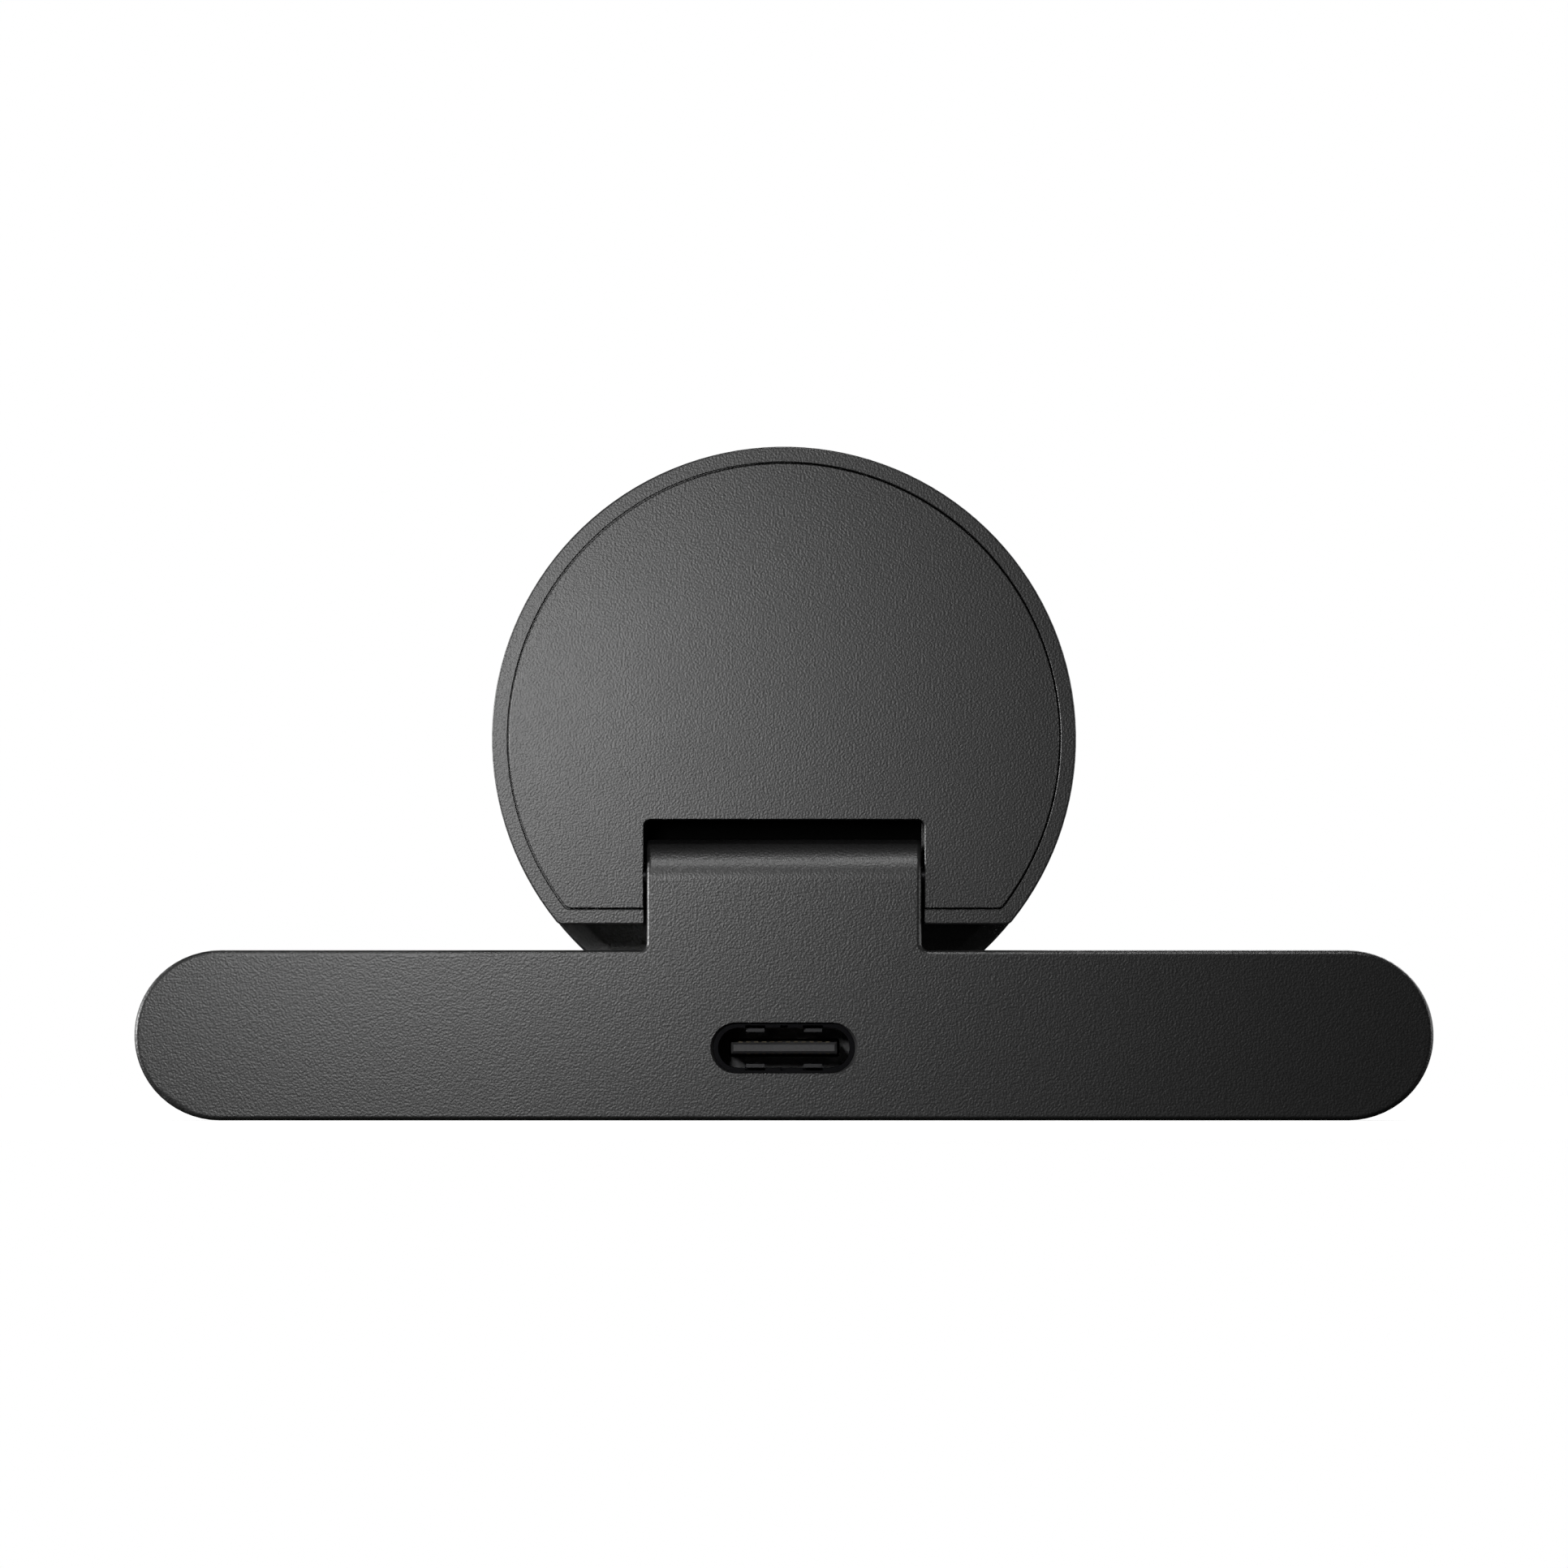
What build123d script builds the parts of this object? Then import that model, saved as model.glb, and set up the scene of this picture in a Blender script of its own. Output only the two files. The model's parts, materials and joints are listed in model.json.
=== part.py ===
"""Small webcam: a round camera head hinged on a bar-shaped stand with a USB-C socket in its back.

Millimetres. +Z is up, the lens looks along -Y and the back of the bar is at +Y. The origin is on the
ground, below the middle of the whole object. A depth `s` is measured forward from the bar's back face.
"""
from build123d import *
import os

# ---------------------------------------------------------------- driving dimensions
BAR_LENGTH = 82.1            # stand bar, a stadium seen from the back
BAR_HEIGHT = 10.74
HEAD_DIAMETER = 36.92
CHORD_CUT = 6.73             # slice missing from the bottom of the head's rear half
CHORD_GAP = 1.65             # air between the bar's top and the head's flat underside
HEAD_INSET = 0.3             # head's back lies this far in front of the bar's back
FRONT_GAP = 2.3              # air between the bar's front and the front shell
FRONT_SHELL_DEPTH = 6.3
KNOB_PROUD = 0.4

WALL = 1.2
BAR_FLOOR = 1.8              # bottom wall of the bar, thicker for the foot pad
POCKET_WALL = 1.0
EDGE = 0.3                   # softening of outer edges
FRONT_ROUND = 0.9            # front rim of the head
PARTING_BEVEL = 0.15         # front shell's edge beside the parting line
HEAD_EDGE = 0.12             # crisper edge on the back of the head
SEAM = 0.12                  # softening along parting lines
FIT = 0.1                    # gap round a piece that drops into a recess
TOUCH = 0.02                 # radial gap of a screw, bush or pin in its own hole

# hinge
BARREL_RADIUS = 2.6
TAB_WIDTH = 17.35
TAB_GAP = 0.225
HINGE_RISE = 2.76            # hinge axis above the head's flat underside
POCKET_RISE = 3.88           # pocket roof above the hinge axis
POCKET_CLEARANCE = 0.8       # barrel to the pocket's front wall
TAB_FILLET = 0.5
POCKET_CORNER = 0.45
SHAFT_RADIUS = 0.8
SHAFT_RUNNING_GAP = 0.03
SHAFT_SIDE_LENGTH = 2.3      # shaft beyond each pocket wall
BUSH_RADIUS = 1.3
BUSH_LENGTH = 3.0
BORE_RADIUS = 1.0
STRAP_THICKNESS = 0.8
STRAP_WIDTH = 2.2
STRAP_RISE = 4.2             # strap's screw end above the hinge axis
STRAP_SCREW_DROP = 1.4       # its screw below that end

# cover plate on the back of the head
RIM = 0.97                   # shell rim left showing round the plate
CHORD_RIM = 0.94             # the same along the flat underside
RIM_BEVEL = 0.05
PLATE_BEVEL = 0.04
PLATE_GAP = 0.1
PLATE_THICKNESS = 0.9
TAPE_THICKNESS = 0.1
SHELL_FLOOR = 0.8

# front of the head
PANEL_THICKNESS = 0.8
PANEL_RIM = 1.86
LEDGE = 1.2                  # ledge that carries the front panel
BLADE_SPACE = 0.8            # depth of the shutter's channel
GUIDE_THICKNESS = 0.8
CHIN_RECESS = 0.8
CHIN_THICKNESS = 1.0
GROOVE_WIDTH = 0.31
GROOVE_DEPTH = 0.3
GROOVE_DROP = 1.14           # groove below the level of the flat underside

# lens, shutter and what shows on the front
WINDOW_RADIUS = 4.25
WINDOW_THICKNESS = 0.6
LENS_RADIUS = 3.6
SHUTTER_TRAVEL = 8.6
BLADE_THICKNESS = 0.5
BLADE_HALF_HEIGHT = 4.6
BLADE_FOOT = 2.0
KNOB_WIDTH = 3.0
KNOB_HEIGHT = 1.5
KNOB_DROP = 8.0              # shutter knob below the lens axis
LED_RISE = 9.4
PIPE_RADIUS = 0.6
MIC_X = 10.2
MIC_RISE = 6.6
MIC_HOLE_RADIUS = 0.4

# electronics in the head
BOARD_THICKNESS = 0.8
BOARD_GAP = 0.4              # between the hinge pocket and the camera board
BOARD_CLEARANCE = 1.9        # board's edge to the shell wall
BOSS_RADIUS = 1.9
BOSS_ANGLES = (40, 140, 200, 340)
POST_RADIUS = 1.4
SENSOR_SIZE = 7.6
HOLDER_SIZE = 10.4
PROCESSOR_SIZE = 7.5
CAN_SIZE = 10.0
CAN_HEIGHT = 1.7
CAN_SHEET = 0.2
PAD_THICKNESS = 0.6
SPREADER_THICKNESS = 0.8
SENSOR_HEIGHT = 0.8
SENSOR_ROOM = 1.3            # hollow of the lens holder over the sensor
HOLDER_BOX = 1.9             # holder's square foot
HOLDER_NECK = 1.9            # and the round neck on it
LIGHT_HOLE = 5.6
FILTER_THICKNESS = 0.3
GLASS_RADIUS = 1.8           # inner elements
FRONT_GLASS_RADIUS = 2.6
FRONT_GLASS_SEAT = 1.5       # depth of the front element's seat
MIC_HEIGHT = 0.9
LED_HEIGHT = 0.5

# USB-C socket (outside sizes of the receptacle standard)
USB_Z = 4.58
USB_OPENING = (8.34, 2.56)
USB_SHEET = 0.3
USB_MOUTH = (9.32, 3.24)     # opening at the bar's back, narrowing to the shell
USB_SETBACK = 0.4
USB_LENGTH = 5.9
USB_TONGUE = (6.69, 0.7)
USB_COLLAR = (6.69, 0.86)    # thicker root of the tongue behind the contacts
TONGUE_SETBACK = 0.55        # tongue's tip behind the shell's mouth
TONGUE_BEVEL = 0.15
FINGER_SPOT = 1.82           # spring finger from the socket's middle
FINGER_WIDTH = 1.25
FINGER_LENGTH = 1.6
USB_BOARD_WIDTH = 22.0
USB_CHIP_X = 6.75
CONTACT_COUNT = 12
CONTACT_PITCH = 0.5
CONTACT_SETBACK = 0.35
CONTACT_SIZE = (0.26, 3.2, 0.05)

# stand's inside and underside
FRONT_COVER_DEPTH = 2.2
NECK_MARGIN = 1.6            # rear cover goes on past the neck's front
FOOT_THICKNESS = 0.6
FOOT_MARGIN = 1.5
FOOT_END = 0.5               # pad's end to where the bar's ends begin to curve
SCREW_END = 1.7              # stand screw to the pad's end
INSIDE_GAP = 0.2
WEIGHT_LENGTH = 18.0
FLEX_THICKNESS = 0.15
FLEX_WIDTH = 2.4
FLEX_CHANNEL = 0.45          # channel's depth in the neck
FLEX_EXIT = 1.4              # height of its way out, and of the slot beyond
FLEX_SLOT = 0.6
CONNECTOR_HEIGHT = 1.0
CONNECTOR_MARGIN = 1.6       # connector is wider than the cable

# screws: head radius, head height, shank radius
CASE_SCREW = (1.4, 1.0, 0.75)
BOARD_SCREW = (1.1, 0.6, 0.5)
STAND_SCREW = (1.2, 0.7, 0.7)
CASE_SCREW_LENGTH = 11.0
CASE_SCREW_SEAT = 2.0        # counterbore
BOARD_SCREW_LENGTH = 4.4
BOARD_HOLE_DEPTH = 4.2
USB_SCREW_LENGTH = 1.9
USB_HOLE_DEPTH = 1.3
STRAP_SCREW_LENGTH = 2.2
STRAP_HOLE_DEPTH = 1.6

# ---------------------------------------------------------------- worked out from the above
HEAD_RADIUS = HEAD_DIAMETER / 2
CHORD_Z = BAR_HEIGHT + CHORD_GAP
HEAD_Z = CHORD_Z + HEAD_RADIUS - CHORD_CUT
HINGE_Z = CHORD_Z + HINGE_RISE
POCKET_TOP_Z = HINGE_Z + POCKET_RISE
POCKET_WIDTH = TAB_WIDTH + 2 * TAB_GAP
POCKET_OUTER = POCKET_WIDTH / 2 + POCKET_WALL

HINGE_S = BARREL_RADIUS
POCKET_S = HINGE_S + BARREL_RADIUS + POCKET_CLEARANCE
SPLIT_S = 2 * BARREL_RADIUS + NECK_MARGIN
BAR_DEPTH = SPLIT_S + FRONT_COVER_DEPTH
PARTING_S = BAR_DEPTH + FRONT_GAP
FRONT_S = PARTING_S + FRONT_SHELL_DEPTH
TOTAL_DEPTH = FRONT_S + KNOB_PROUD
REAR_Y = TOTAL_DEPTH / 2

PLATE_SEAT_S = HEAD_INSET + PLATE_THICKNESS + TAPE_THICKNESS
FLOOR_S = PLATE_SEAT_S + SHELL_FLOOR
BOARD_S = POCKET_S + POCKET_WALL + BOARD_GAP
BOARD_FRONT_S = BOARD_S + BOARD_THICKNESS
PANEL_S = FRONT_S - PANEL_THICKNESS
GUIDE_FACE_S = PANEL_S - BLADE_SPACE
GUIDE_S = GUIDE_FACE_S - GUIDE_THICKNESS
CHIN_S = PARTING_S + CHIN_RECESS
BLADE_S = GUIDE_FACE_S + (BLADE_SPACE - BLADE_THICKNESS) / 2
KNOB_Z = HEAD_Z - KNOB_DROP
KNOB_X = SHUTTER_TRAVEL / 2

CAVITY_RADIUS = HEAD_RADIUS - WALL
PANEL_SEAT_RADIUS = HEAD_RADIUS - PANEL_RIM
BOARD_RADIUS = CAVITY_RADIUS - BOARD_CLEARANCE
BOSS_CIRCLE = CAVITY_RADIUS - BOSS_RADIUS + 0.24
BOARD_POSTS = (
    (-0.42 * BOARD_RADIUS, HEAD_Z + 0.74 * BOARD_RADIUS),
    (0.42 * BOARD_RADIUS, HEAD_Z + 0.74 * BOARD_RADIUS),
    (-0.80 * BOARD_RADIUS, HEAD_Z - 0.07 * BOARD_RADIUS),
    (0.80 * BOARD_RADIUS, HEAD_Z - 0.07 * BOARD_RADIUS),
)

BAR_MID_S = BAR_DEPTH / 2
FOOT_LENGTH = BAR_LENGTH - BAR_HEIGHT - 2 * FOOT_END
FOOT_DEPTH = BAR_DEPTH - 2 * FOOT_MARGIN
STAND_SCREW_X = FOOT_LENGTH / 2 - SCREW_END
STAND_SCREW_SEAT = FOOT_THICKNESS + STAND_SCREW[1] + FIT
USB_SHELL = (USB_OPENING[0] + 2 * USB_SHEET, USB_OPENING[1] + 2 * USB_SHEET)
USB_BOARD_TOP = USB_Z - USB_SHELL[1] / 2
USB_BOARD_FLOOR = USB_BOARD_TOP - BOARD_THICKNESS
USB_SCREW_X = USB_BOARD_WIDTH / 2 - 1.3
TONGUE_S = USB_SETBACK + TONGUE_SETBACK
CONTACT_S = TONGUE_S + CONTACT_SETBACK
USB_END_S = USB_SETBACK + USB_LENGTH - 2 * USB_SHEET
WEIGHT_X = STAND_SCREW_X - 2.3 - WEIGHT_LENGTH / 2
STRAP_X = POCKET_OUTER + INSIDE_GAP / 2 + STRAP_WIDTH / 2
STRAP_S = HINGE_S + SHAFT_RADIUS
STRAP_SCREW_Z = HINGE_Z + STRAP_RISE - STRAP_SCREW_DROP
FLEX_S = HINGE_S + BORE_RADIUS + 0.65
FLEX_SLOT_Z = HINGE_Z + 1.85


# ---------------------------------------------------------------- helpers
def depth_plane(s):
    """Upright plane at depth s: local x is X, local y is Z, and extruding goes forward."""
    return Plane.XZ.offset(s - REAR_Y)


def side_plane(x):
    """Upright plane across the bar: local x is Y, local y is Z, and extruding goes to +X."""
    return Plane.YZ.offset(x)


def y_at(s):
    """Y of a depth s."""
    return REAR_Y - s


def flat_disc(radius, chord_z, corner):
    """Disc about the head's centre with its bottom cut off level at chord_z."""
    with BuildSketch(mode=Mode.PRIVATE) as outline:
        with Locations((0, HEAD_Z)):
            Circle(radius)
        with Locations((0, chord_z)):
            Rectangle(3 * radius, 3 * radius, align=(Align.CENTER, Align.MAX), mode=Mode.SUBTRACT)
        if corner:
            fillet(outline.vertices(), corner)
    return outline.sketch


def stadium(width, height, z):
    """Stadium standing on its long side, its middle at height z."""
    with BuildSketch(mode=Mode.PRIVATE) as outline:
        with Locations((0, z)):
            SlotOverall(width, height)
    return outline.sketch


def bar_inside():
    """Section of the hollow in the stand's bar."""
    with BuildSketch(mode=Mode.PRIVATE) as outline:
        with Locations((0, BAR_HEIGHT / 2)):
            SlotOverall(BAR_LENGTH - 2 * WALL, BAR_HEIGHT - 2 * WALL)
        with Locations((0, BAR_FLOOR)):
            Rectangle(BAR_LENGTH, BAR_HEIGHT, align=(Align.CENTER, Align.MAX), mode=Mode.SUBTRACT)
    return outline.sketch


def boss_places():
    """Centres of the four screw bosses that join the head's two shells."""
    return [Vector(BOSS_CIRCLE, 0).rotate(Axis.Z, angle) + Vector(0, HEAD_Z) for angle in BOSS_ANGLES]


def add_rounds(plane, places, radius, amount, mode=Mode.ADD):
    """Extrude a circle at each place."""
    with BuildSketch(plane, mode=Mode.PRIVATE) as profile:
        with Locations(*places):
            Circle(radius)
    extrude(profile.sketch, amount=amount, mode=mode)


def add_box(plane, centre, size, amount, mode=Mode.ADD, corner=0):
    """Extrude a rectangle, with rounded corners if asked."""
    with BuildSketch(plane, mode=Mode.PRIVATE) as profile:
        with Locations(centre):
            if corner:
                RectangleRounded(size[0], size[1], corner)
            else:
                Rectangle(size[0], size[1])
    extrude(profile.sketch, amount=amount, mode=mode)


def add_screws(plane, places, sizes, length, out=1):
    """Pan-head screws seated on a plane; out is 1 where the heads rise along its normal, else -1."""
    head_radius, head_height, shank_radius = sizes
    add_rounds(plane, places, head_radius, out * head_height)
    add_rounds(plane, places, shank_radius, -out * length)
    with BuildSketch(plane.offset(out * head_height), mode=Mode.PRIVATE) as cross:
        with Locations(*places):
            Rectangle(head_radius * 1.2, head_radius * 0.3)
            Rectangle(head_radius * 0.3, head_radius * 1.2)
    extrude(cross.sketch, amount=-out * head_height * 0.55, mode=Mode.SUBTRACT)


def save(part, name):
    """Label a finished sub-part and write its STEP file."""
    part.label = name
    export_step(part, f"parts/{name}.step")


os.makedirs("parts", exist_ok=True)

# ================================================================ stand
# Rear cover: back of the bar, the neck that rises from it and the hinge barrel, in one moulding.
with BuildPart() as stand_rear_cover:
    with BuildSketch(depth_plane(0)):
        with Locations((0, BAR_HEIGHT / 2)):
            SlotOverall(BAR_LENGTH, BAR_HEIGHT)
    extrude(amount=SPLIT_S)
    with BuildSketch(depth_plane(0)) as neck_outline:
        with Locations((0, BAR_HEIGHT - WALL)):
            Rectangle(TAB_WIDTH, HINGE_Z - BAR_HEIGHT + WALL, align=(Align.CENTER, Align.MIN))
        with Locations((0, BAR_HEIGHT - WALL)):
            Rectangle(TAB_WIDTH + 4 * TAB_FILLET, WALL, align=(Align.CENTER, Align.MIN))
        fillet(neck_outline.vertices().group_by(Axis.Y)[1].sort_by(Axis.X)[1:-1], TAB_FILLET)
    extrude(amount=2 * BARREL_RADIUS)
    with BuildSketch(side_plane(-TAB_WIDTH / 2)):
        with Locations((y_at(HINGE_S), HINGE_Z)):
            Circle(BARREL_RADIUS)
    extrude(amount=TAB_WIDTH)
    back_edges = stand_rear_cover.edges().filter_by_position(Axis.Y, REAR_Y - 0.001, REAR_Y + 0.001)
    long_back_edges = back_edges.filter_by_position(Axis.Z, -0.01, HINGE_Z - 0.01)
    fillet(long_back_edges, EDGE)
    # hollow of the bar
    with BuildSketch(depth_plane(WALL)):
        add(bar_inside())
    extrude(amount=SPLIT_S, mode=Mode.SUBTRACT)
    # socket opening
    with BuildSketch(depth_plane(0)):
        add(stadium(USB_MOUTH[0], USB_MOUTH[1], USB_Z))
    with BuildSketch(depth_plane(USB_SETBACK)):
        add(stadium(USB_SHELL[0] + 2 * TOUCH, USB_SHELL[1] + 2 * TOUCH, USB_Z))
    loft(mode=Mode.SUBTRACT)
    with BuildSketch(depth_plane(USB_SETBACK)):
        add(stadium(USB_SHELL[0] + 2 * TOUCH, USB_SHELL[1] + 2 * TOUCH, USB_Z))
    extrude(amount=WALL, mode=Mode.SUBTRACT)
    # shaft bore with a seat for a friction bush at each end
    with BuildSketch(side_plane(-TAB_WIDTH)):
        with Locations((y_at(HINGE_S), HINGE_Z)):
            Circle(BORE_RADIUS)
    extrude(amount=2 * TAB_WIDTH, mode=Mode.SUBTRACT)
    for end in (-1, 1):
        with BuildSketch(side_plane(end * TAB_WIDTH / 2)):
            with Locations((y_at(HINGE_S), HINGE_Z)):
                Circle(BUSH_RADIUS)
        extrude(amount=-end * BUSH_LENGTH, mode=Mode.SUBTRACT)
    # channel that takes the flex cable up the neck and out at its front
    with BuildSketch(Plane.XY.offset(BAR_HEIGHT - 2 * WALL)):
        with Locations((0, y_at(FLEX_S))):
            Rectangle(FLEX_WIDTH + 4 * FIT, FLEX_CHANNEL)
    extrude(amount=HINGE_Z - BAR_HEIGHT + 2 * WALL, mode=Mode.SUBTRACT)
    with BuildSketch(depth_plane(FLEX_S)):
        with Locations((0, HINGE_Z - FLEX_EXIT / 2)):
            Rectangle(FLEX_WIDTH + 4 * FIT, FLEX_EXIT)
    extrude(amount=BARREL_RADIUS, mode=Mode.SUBTRACT)
    # foot pad recess, screw holes and board posts
    add_box(Plane.XY, (0, y_at(BAR_MID_S)), (FOOT_LENGTH, FOOT_DEPTH), FOOT_THICKNESS, Mode.SUBTRACT, 1.5)
    screw_spots = [(-STAND_SCREW_X, y_at(BAR_MID_S)), (STAND_SCREW_X, y_at(BAR_MID_S))]
    add_rounds(Plane.XY, screw_spots, STAND_SCREW[0] + FIT, STAND_SCREW_SEAT, Mode.SUBTRACT)
    add_rounds(Plane.XY, screw_spots, STAND_SCREW[2] + FIT, BAR_FLOOR, Mode.SUBTRACT)
    usb_screw_spots = [(-USB_SCREW_X, y_at(BAR_MID_S)), (USB_SCREW_X, y_at(BAR_MID_S))]
    add_rounds(Plane.XY.offset(BAR_FLOOR), usb_screw_spots, POST_RADIUS, USB_BOARD_FLOOR - BAR_FLOOR)
    board_hole = BOARD_SCREW[2] + TOUCH
    post_top = Plane.XY.offset(USB_BOARD_FLOOR)
    add_rounds(post_top, usb_screw_spots, board_hole, -USB_HOLE_DEPTH, Mode.SUBTRACT)
save(stand_rear_cover.part, "stand_rear_cover")

# Front cover: shallow lid of the bar, with two bosses that the stand screws bite into.
with BuildPart() as stand_front_cover:
    with BuildSketch(depth_plane(SPLIT_S)):
        with Locations((0, BAR_HEIGHT / 2)):
            SlotOverall(BAR_LENGTH, BAR_HEIGHT)
    extrude(amount=FRONT_COVER_DEPTH)
    fillet(stand_front_cover.edges().group_by(Axis.Y)[0], 0.8)
    chamfer(stand_front_cover.edges().group_by(Axis.Y)[-1], SEAM)
    with BuildSketch(depth_plane(SPLIT_S)):
        add(bar_inside())
    extrude(amount=FRONT_COVER_DEPTH - WALL, mode=Mode.SUBTRACT)
    add_box(Plane.XY, (0, y_at(BAR_MID_S)), (FOOT_LENGTH, FOOT_DEPTH), FOOT_THICKNESS, Mode.SUBTRACT, 1.5)
    boss_depth = BAR_DEPTH - WALL - BAR_MID_S + POST_RADIUS + 0.4
    for side in (-1, 1):
        with BuildSketch(Plane.XY.offset(BAR_FLOOR + TOUCH)):
            with Locations((side * STAND_SCREW_X, y_at(BAR_DEPTH - WALL / 2))):
                Rectangle(2 * POST_RADIUS + 0.4, boss_depth + WALL / 2, align=(Align.CENTER, Align.MIN))
        extrude(amount=0.45 * BAR_HEIGHT)
    stand_hole = STAND_SCREW[2] + TOUCH
    add_rounds(Plane.XY.offset(BAR_FLOOR), screw_spots, stand_hole, 0.43 * BAR_HEIGHT, Mode.SUBTRACT)
save(stand_front_cover.part, "stand_front_cover")

with BuildPart() as foot_pad:
    with BuildSketch(Plane.XY):
        with Locations((0, y_at(BAR_MID_S))):
            RectangleRounded(FOOT_LENGTH - 2 * FIT, FOOT_DEPTH - 2 * FIT, 1.4)
    extrude(amount=FOOT_THICKNESS)
    chamfer(foot_pad.edges().group_by(Axis.Z)[0], SEAM)
save(foot_pad.part, "foot_pad")

with BuildPart() as stand_screws:
    add_screws(Plane.XY.offset(STAND_SCREW_SEAT), screw_spots, STAND_SCREW, 0.38 * BAR_HEIGHT, -1)
save(stand_screws.part, "stand_screws")

# Steel weights: they keep the centre of mass over the bar when the head tilts.
for side, name in ((-1, "stand_weight_left"), (1, "stand_weight_right")):
    with BuildPart() as stand_weight:
        with BuildSketch(depth_plane(WALL + INSIDE_GAP)):
            with Locations((side * WEIGHT_X, (BAR_FLOOR + BAR_HEIGHT - WALL) / 2)):
                Rectangle(WEIGHT_LENGTH, BAR_HEIGHT - WALL - BAR_FLOOR - 2 * INSIDE_GAP)
        extrude(amount=BAR_DEPTH - 2 * WALL - 2 * INSIDE_GAP)
        chamfer(stand_weight.edges(), 0.3)
    save(stand_weight.part, name)

with BuildPart() as friction_bushes:
    for end in (-1, 1):
        with BuildSketch(side_plane(end * TAB_WIDTH / 2)):
            with Locations((y_at(HINGE_S), HINGE_Z)):
                Circle(BUSH_RADIUS - TOUCH)
                Circle(SHAFT_RADIUS + SHAFT_RUNNING_GAP, mode=Mode.SUBTRACT)
        extrude(amount=-end * BUSH_LENGTH)
save(friction_bushes.part, "friction_bushes")

# ---------------------------------------------------------------- USB-C socket and its board
with BuildPart() as usb_c_shell:
    with BuildSketch(depth_plane(USB_SETBACK)):
        add(stadium(USB_SHELL[0], USB_SHELL[1], USB_Z))
    extrude(amount=USB_LENGTH)
    with BuildSketch(depth_plane(USB_SETBACK)):
        add(stadium(USB_OPENING[0], USB_OPENING[1], USB_Z))
    extrude(amount=USB_LENGTH - 2 * USB_SHEET, mode=Mode.SUBTRACT)
    # pressed-in spring fingers leave shallow slots behind the mouth, with a notch between them
    for level in (-1, 1):
        slot_z = USB_Z + level * (USB_OPENING[1] / 2 + USB_SHEET / 4)
        with BuildSketch(depth_plane(USB_SETBACK)):
            with Locations((-FINGER_SPOT, slot_z), (FINGER_SPOT, slot_z)):
                Rectangle(FINGER_WIDTH, USB_SHEET / 2)
            with Locations((0, slot_z)):
                Rectangle(0.45, USB_SHEET / 2)
        extrude(amount=FINGER_LENGTH, mode=Mode.SUBTRACT)
save(usb_c_shell.part, "usb_c_shell")

with BuildPart() as usb_c_tongue:
    add_box(depth_plane(TONGUE_S), (0, USB_Z), USB_TONGUE, USB_END_S - TONGUE_S)
    chamfer(usb_c_tongue.faces().sort_by(Axis.Y)[-1].edges(), TONGUE_BEVEL)
    collar_s = CONTACT_S + CONTACT_SIZE[1]
    add_box(depth_plane(collar_s), (0, USB_Z), USB_COLLAR, USB_END_S - collar_s)
save(usb_c_tongue.part, "usb_c_tongue")

with BuildPart() as usb_c_contacts:
    for level in (-1, 1):
        row_z = USB_Z + level * (USB_TONGUE[1] / 2 + CONTACT_SIZE[2] / 2)
        with BuildSketch(depth_plane(CONTACT_S)):
            with Locations((0, row_z)):
                with GridLocations(CONTACT_PITCH, 1, CONTACT_COUNT, 1):
                    Rectangle(CONTACT_SIZE[0], CONTACT_SIZE[2])
        extrude(amount=CONTACT_SIZE[1])
save(usb_c_contacts.part, "usb_c_contacts")

board_depth = BAR_DEPTH - 2 * WALL - 2 * INSIDE_GAP
with BuildPart() as usb_board:
    board_floor = Plane.XY.offset(USB_BOARD_FLOOR)
    add_box(board_floor, (0, y_at(BAR_MID_S)), (USB_BOARD_WIDTH, board_depth), BOARD_THICKNESS)
    add_rounds(board_floor, usb_screw_spots, board_hole, BOARD_THICKNESS, Mode.SUBTRACT)
save(usb_board.part, "usb_board")

with BuildPart() as usb_board_chips:
    chip_spots = [(-USB_CHIP_X, y_at(BAR_MID_S)), (USB_CHIP_X, y_at(BAR_MID_S))]
    with BuildSketch(Plane.XY.offset(USB_BOARD_TOP)):
        with Locations(*chip_spots):
            Rectangle(2.8, 3.2)
    extrude(amount=0.75)
save(usb_board_chips.part, "usb_board_chips")

with BuildPart() as usb_board_screws:
    add_screws(Plane.XY.offset(USB_BOARD_TOP), usb_screw_spots, BOARD_SCREW, USB_SCREW_LENGTH)
save(usb_board_screws.part, "usb_board_screws")

# Flex cable: from its connector up behind the front cover, over the socket and up the neck.
stand_connector_s = (USB_SETBACK + USB_LENGTH + BAR_DEPTH - WALL) / 2
with BuildPart() as stand_flex_connector:
    with BuildSketch(Plane.XY.offset(USB_BOARD_TOP)):
        with Locations((0, y_at(stand_connector_s))):
            Rectangle(FLEX_WIDTH + CONNECTOR_MARGIN, 1.0)
    extrude(amount=CONNECTOR_HEIGHT)
save(stand_flex_connector.part, "stand_flex_connector")

flex_bend_z = USB_Z + USB_SHELL[1] / 2 + 0.9
with BuildPart() as stand_flex_cable:
    with BuildSketch(side_plane(-FLEX_WIDTH / 2)):
        with BuildLine():
            FilletPolyline(
                (y_at(stand_connector_s), USB_BOARD_TOP + CONNECTOR_HEIGHT),
                (y_at(stand_connector_s), flex_bend_z),
                (y_at(FLEX_S), flex_bend_z),
                (y_at(FLEX_S), HINGE_Z - 0.4),
                radius=0.5,
            )
        trace(line_width=FLEX_THICKNESS)
    extrude(amount=FLEX_WIDTH)
save(stand_flex_cable.part, "stand_flex_cable")

# ================================================================ head, rear half
head_outline = flat_disc(HEAD_RADIUS, CHORD_Z, 0.5)
plate_seat_outline = flat_disc(HEAD_RADIUS - RIM, CHORD_Z + CHORD_RIM, 0.5)
head_inside = flat_disc(CAVITY_RADIUS, CHORD_Z + WALL, 0.3)

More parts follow.
